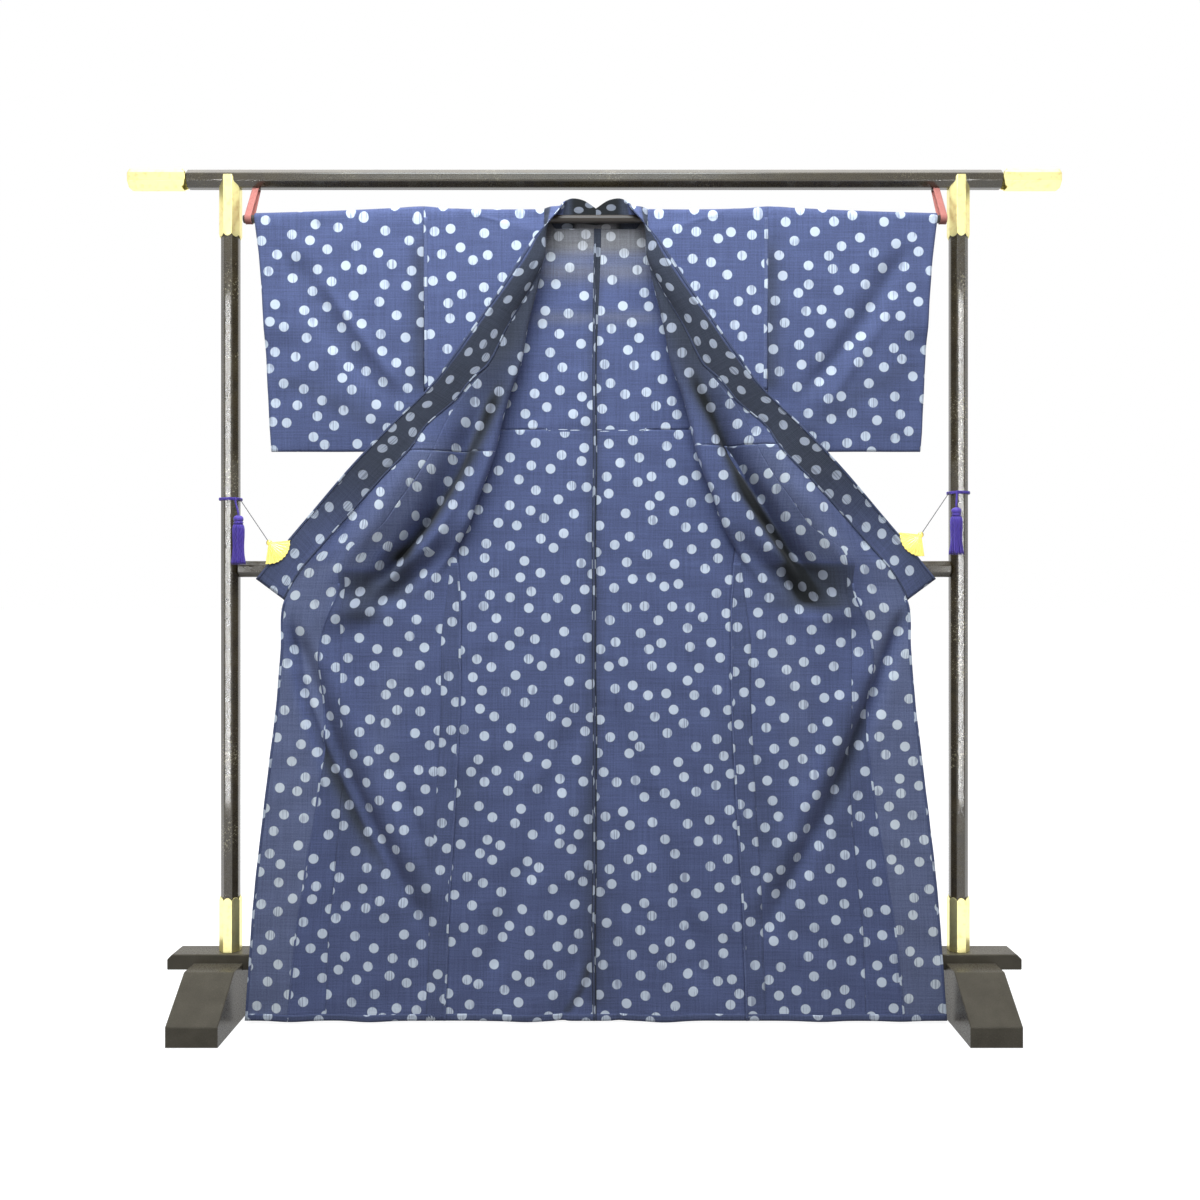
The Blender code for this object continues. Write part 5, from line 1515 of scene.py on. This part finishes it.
for side, sign in SIDES:
    turn = np.linspace(0.0, 2 * math.pi, 161)
    for turn_number, rise in enumerate((-WINDING_RISE, WINDING_RISE)):
        path = np.stack([sign * POST_X + WINDING_REACH * np.cos(turn), WINDING_REACH * np.sin(turn),
                         WRAP_HEIGHT[side] + rise + 0.0 * turn], axis=1)
        add_two_ply(f"winding_{turn_number + 1}_{side}", path, WINDING_THICK, WINDING_PITCH,
                    f"post_wrap_{side}", closed=True)
    towards = np.array([sign * (TASSEL_X[side] - POST_X), TASSEL_Y])
    towards = towards / np.linalg.norm(towards)
    start = np.array([sign * POST_X + towards[0] * STEM_FROM, towards[1] * STEM_FROM,
                      WRAP_HEIGHT[side] + 0.0030])
    end = np.array([sign * TASSEL_X[side], TASSEL_Y, TASSEL_HEAD[side] + 0.0009])
    t = np.linspace(0.0, 1.0, 60)[:, None]
    path = ((1 - t) ** 3 * start + 3 * t * (1 - t) ** 2 * (start - [0.0, 0.0, STEM_DROOP])
            + 3 * t ** 2 * (1 - t) * (end + [0.0, 0.0, STEM_LEAD]) + t ** 3 * end)
    add_two_ply(f"stem_{side}", path, STEM_THICK, STEM_PITCH, f"tassel_stem_{side}")
print("windings and stems made")

# %% [markdown]
# ## Rayon tassels
# A tassel is a bound bundle of rayon thread below a turned head. The head is one body of revolution,
# and the roots of the strands are sunk in it, because real strands run up inside the binding. Each
# strand is a thin tapered tube that leans and curls a little differently.

# %% Tassels
STRANDS = 120
HEAD_PROFILE = np.array([  # radius, drop
    (0.0000, 0.0000), (0.0032, 0.0003), (0.0070, 0.0018), (0.0094, 0.0050), (0.0098, 0.0090),
    (0.0086, 0.0122), (0.0076, 0.0130), (0.0092, 0.0136), (0.0095, 0.0148), (0.0092, 0.0160),
    (0.0080, 0.0166), (0.0090, 0.0174), (0.0060, 0.0180), (0.0000, 0.0184)])
SKIRT_AT = (0.000, 0.006, 0.022, 0.045, 0.066, 0.084)
SKIRT_RADIUS = (0.0080, 0.0104, 0.0114, 0.0106, 0.0118, 0.0152)
SKIRT_DROP, SKIRT_SHORT = 0.0160, 0.0165     # roots below the head's top; length it takes off
GOLDEN_ANGLE = 2.39996        # radians between one root and the next
STRAND_THICK = 0.00098        # radius at the root


def tassel_head(side, sign):
    """The profile turned once about the tassel's axis, with the yarn's shallow ribs."""
    turn = np.linspace(0.0, 2 * math.pi, 73)[None, :]
    radius, drop = HEAD_PROFILE[:, :1], HEAD_PROFILE[:, 1:]
    radius = radius * (1 + 0.02 * np.cos(24 * turn))
    return np.stack([sign * TASSEL_X[side] + radius * np.cos(turn),
                     TASSEL_Y + radius * np.sin(turn), TASSEL_HEAD[side] - drop + 0.0 * turn],
                    axis=-1)


def tassel_strands(side, sign, seed):
    """Golden-angle roots; each strand follows the skirt's radius at its own share of it."""
    dice = np.random.default_rng(seed)
    index = np.arange(STRANDS)
    share = np.sqrt((index + 0.5) / STRANDS)[:, None]
    turn = (index * GOLDEN_ANGLE)[:, None] + dice.normal(0.0, 0.02, (STRANDS, 1))
    t = shares(16)
    longest = TASSEL_LENGTH[side] - SKIRT_SHORT
    length = longest - np.abs(dice.normal(0.0, 0.0016, (STRANDS, 1)))
    radius = share * smooth_value(t * SKIRT_AT[-1], SKIRT_AT, SKIRT_RADIUS)
    turn = turn + 0.10 * t + dice.normal(0.0, 0.05, (STRANDS, 1)) * t ** 2
    top = TASSEL_HEAD[side] - SKIRT_DROP
    path = np.stack([sign * TASSEL_X[side] + radius * np.cos(turn),
                     TASSEL_Y + radius * np.sin(turn), top - length * t], axis=-1)
    thick = np.broadcast_to(STRAND_THICK * (1 - 0.25 * t), path.shape[:-1]).copy()
    thick[:, [0, -1]] = CLOSED_END
    return carry_circle(path, thick, 5)


for order, (side, sign) in enumerate(SIDES):
    head = tassel_head(side, sign)
    u, v = np.meshgrid(np.linspace(0.0, 0.055, head.shape[1]), HEAD_PROFILE[:, 1])
    add_piece(f"tassel_head_{side}", head, purple, "purple", (f"tassel_{side}",),
              flat=np.stack([u, v], axis=-1))
    skirt = tassel_strands(side, sign, 31 + order)
    add_yarn(f"tassel_skirt_{side}", skirt, f"tassel_{side}", SKIRT_AT[-1])
print(STRANDS, "strands a tassel")

# %% [markdown]
# ## The loops that carry the rod
# Each end of the rod hangs in a tape whose two ends are fixed side by side under the bar. The path
# is a leg that touches the rod's round, an arc below it, and the other leg. The tape bows a little
# across its width, as a pressed hem makes it do.

# %% Tape loops
STRAP_X = {"left": 0.689, "right": 0.695}
STRAP_WIDTH, STRAP_WALL, ROD_RADIUS = 0.013, 0.0018, 0.008
STRAP_LEGS, STRAP_HANG, STRAP_BOW = (-0.0065, 0.0060), 0.0008, 0.0004
LEG_POINTS, ARC_POINTS = 24, 28


def tape_path():
    """y and z down the front leg, round the rod, and up the rear leg."""
    top = BAR_HEIGHT - BAR_ACROSS / 2 - STRAP_HANG
    reach = ROD_RADIUS + FIT_GAP + STRAP_WALL / 2
    meets = []
    for leg_y, way in zip(STRAP_LEGS, (1.0, -1.0)):
        away = (leg_y - ROD_Y, top - ROD_HEIGHT)
        meets.append(math.atan2(away[1], away[0]) + way * math.acos(reach / math.hypot(*away)))
    turn = np.linspace(meets[0], meets[1] + 2 * math.pi, ARC_POINTS)
    arc = np.stack([ROD_Y + reach * np.cos(turn), ROD_HEIGHT + reach * np.sin(turn)], axis=1)
    share = np.linspace(0.0, 1.0, LEG_POINTS)[:-1, None]
    front = np.array([STRAP_LEGS[0], top]) * (1 - share) + arc[0] * share
    rear = np.array([STRAP_LEGS[1], top]) * (1 - share) + arc[-1] * share
    return np.concatenate([front, arc, rear[::-1]])


for side, sign in SIDES:
    path = tape_path()
    across = STRAP_WIDTH * np.linspace(-0.5, 0.5, 9)[None, :]
    bow = STRAP_BOW * (1 - (2 * across / STRAP_WIDTH) ** 2)
    points = np.stack([sign * STRAP_X[side] + across + 0.0 * path[:, :1], path[:, :1] - bow,
                       path[:, 1:] + 0.0 * across], axis=-1)
    run = run_along(path)
    flat = np.stack([across + 0.0 * run[:, None], run[:, None] + 0.0 * across], axis=-1)
    tape = add_cloth(f"rod_loop_{side}", points, flat, 0.0, STRAP_WALL, replaced=(f"strap_{side}",),
                     finish=salmon, slot="strap")
print("tapes", round(float(run[-1]) * 1000), "mm long")

# %% [markdown]
# ## Floor and light
# Everything stands on a pale seamless sweep. It glows by itself, so that it stays even and white to
# the horizon, and it lights nothing, so that the cloth is lit only by two large soft lamps above and
# by the air, besides the shade and light painted into its tones; two narrow strips light nothing but
# show in the lacquer's gloss.

# %% Floor and light
floor_mesh = bpy.data.meshes.new("studio_floor")
floor_mesh.from_pydata([(-60, -9, -0.001), (60, -9, -0.001), (60, 90, -0.001), (-60, 90, -0.001)], [],
                       [(0, 1, 2, 3)])
floor = bpy.data.objects.new("studio_floor", floor_mesh)
bpy.context.scene.collection.objects.link(floor)
paper, tree, shader = new_finish("white_paper_sweep", Base_Color=srgb("#b8b8b8"), Roughness=0.9,
                                 Emission_Color=srgb("#ffffff"), Emission_Strength=0.86)
floor_mesh.materials.append(paper)
floor.visible_diffuse = False

AIR_ABOVE, AIR_BELOW = 0.45, 0.08
world = bpy.data.worlds.new("studio_air")
world.use_nodes = True
air = world.node_tree
backdrop = air.nodes["Background"]
facing = add_node(air, "ShaderNodeTexCoord")
upward = add_node(air, "ShaderNodeSeparateXYZ", {"Vector": facing.outputs["Generated"]})
glow = add_node(air, "ShaderNodeMapRange", {"Value": upward.outputs["Z"], "From Min": -1.0,
                                            "To Min": AIR_BELOW, "To Max": AIR_ABOVE})
ray = add_node(air, "ShaderNodeLightPath")
strength = add_node(air, "ShaderNodeMix", {0: ray.outputs["Is Diffuse Ray"],
                                           2: 1.0, 3: glow.outputs["Result"]})
backdrop.inputs["Color"].default_value = srgb("#ffffff")
air.links.new(strength.outputs[0], backdrop.inputs["Strength"])
bpy.context.scene.world = world
bpy.context.scene.view_settings.view_transform = "Standard"


def add_softbox(name, place, aim, size, watts, tint=(1.0, 1.0, 1.0), gloss_only=False):
    """A rectangular area lamp that points from its place to its aim."""
    lamp = bpy.data.lights.new(name, "AREA")
    lamp.shape = "RECTANGLE"
    lamp.size, lamp.size_y = size
    lamp.energy = watts
    lamp.color = tint
    holder = bpy.data.objects.new(name, lamp)
    holder.location = place
    away = np.subtract(place, aim)
    holder.rotation_euler = (math.acos(away[2] / np.linalg.norm(away)), 0.0,
                             math.atan2(away[1], away[0]) + math.pi / 2)
    holder.visible_diffuse = not gloss_only
    bpy.context.scene.collection.objects.link(holder)


add_softbox("top_softbox", (-0.2, -1.2, 2.9), (0.0, 0.1, 1.2), (1.5, 1.5), 54.0, (0.88, 0.95, 1.0))
add_softbox("floor_softbox", (0.0, 0.6, 4.5), (0.0, 0.3, 0.0), (5.0, 5.0), 90.0)
for side, sign in SIDES:
    add_softbox(f"strip_{side}", (sign * 1.508 - 0.011, -2.4, 0.9), (sign * 0.74, 0.0, 0.9),
                (0.010, 2.4), 9.0, gloss_only=True)
print("studio ready")
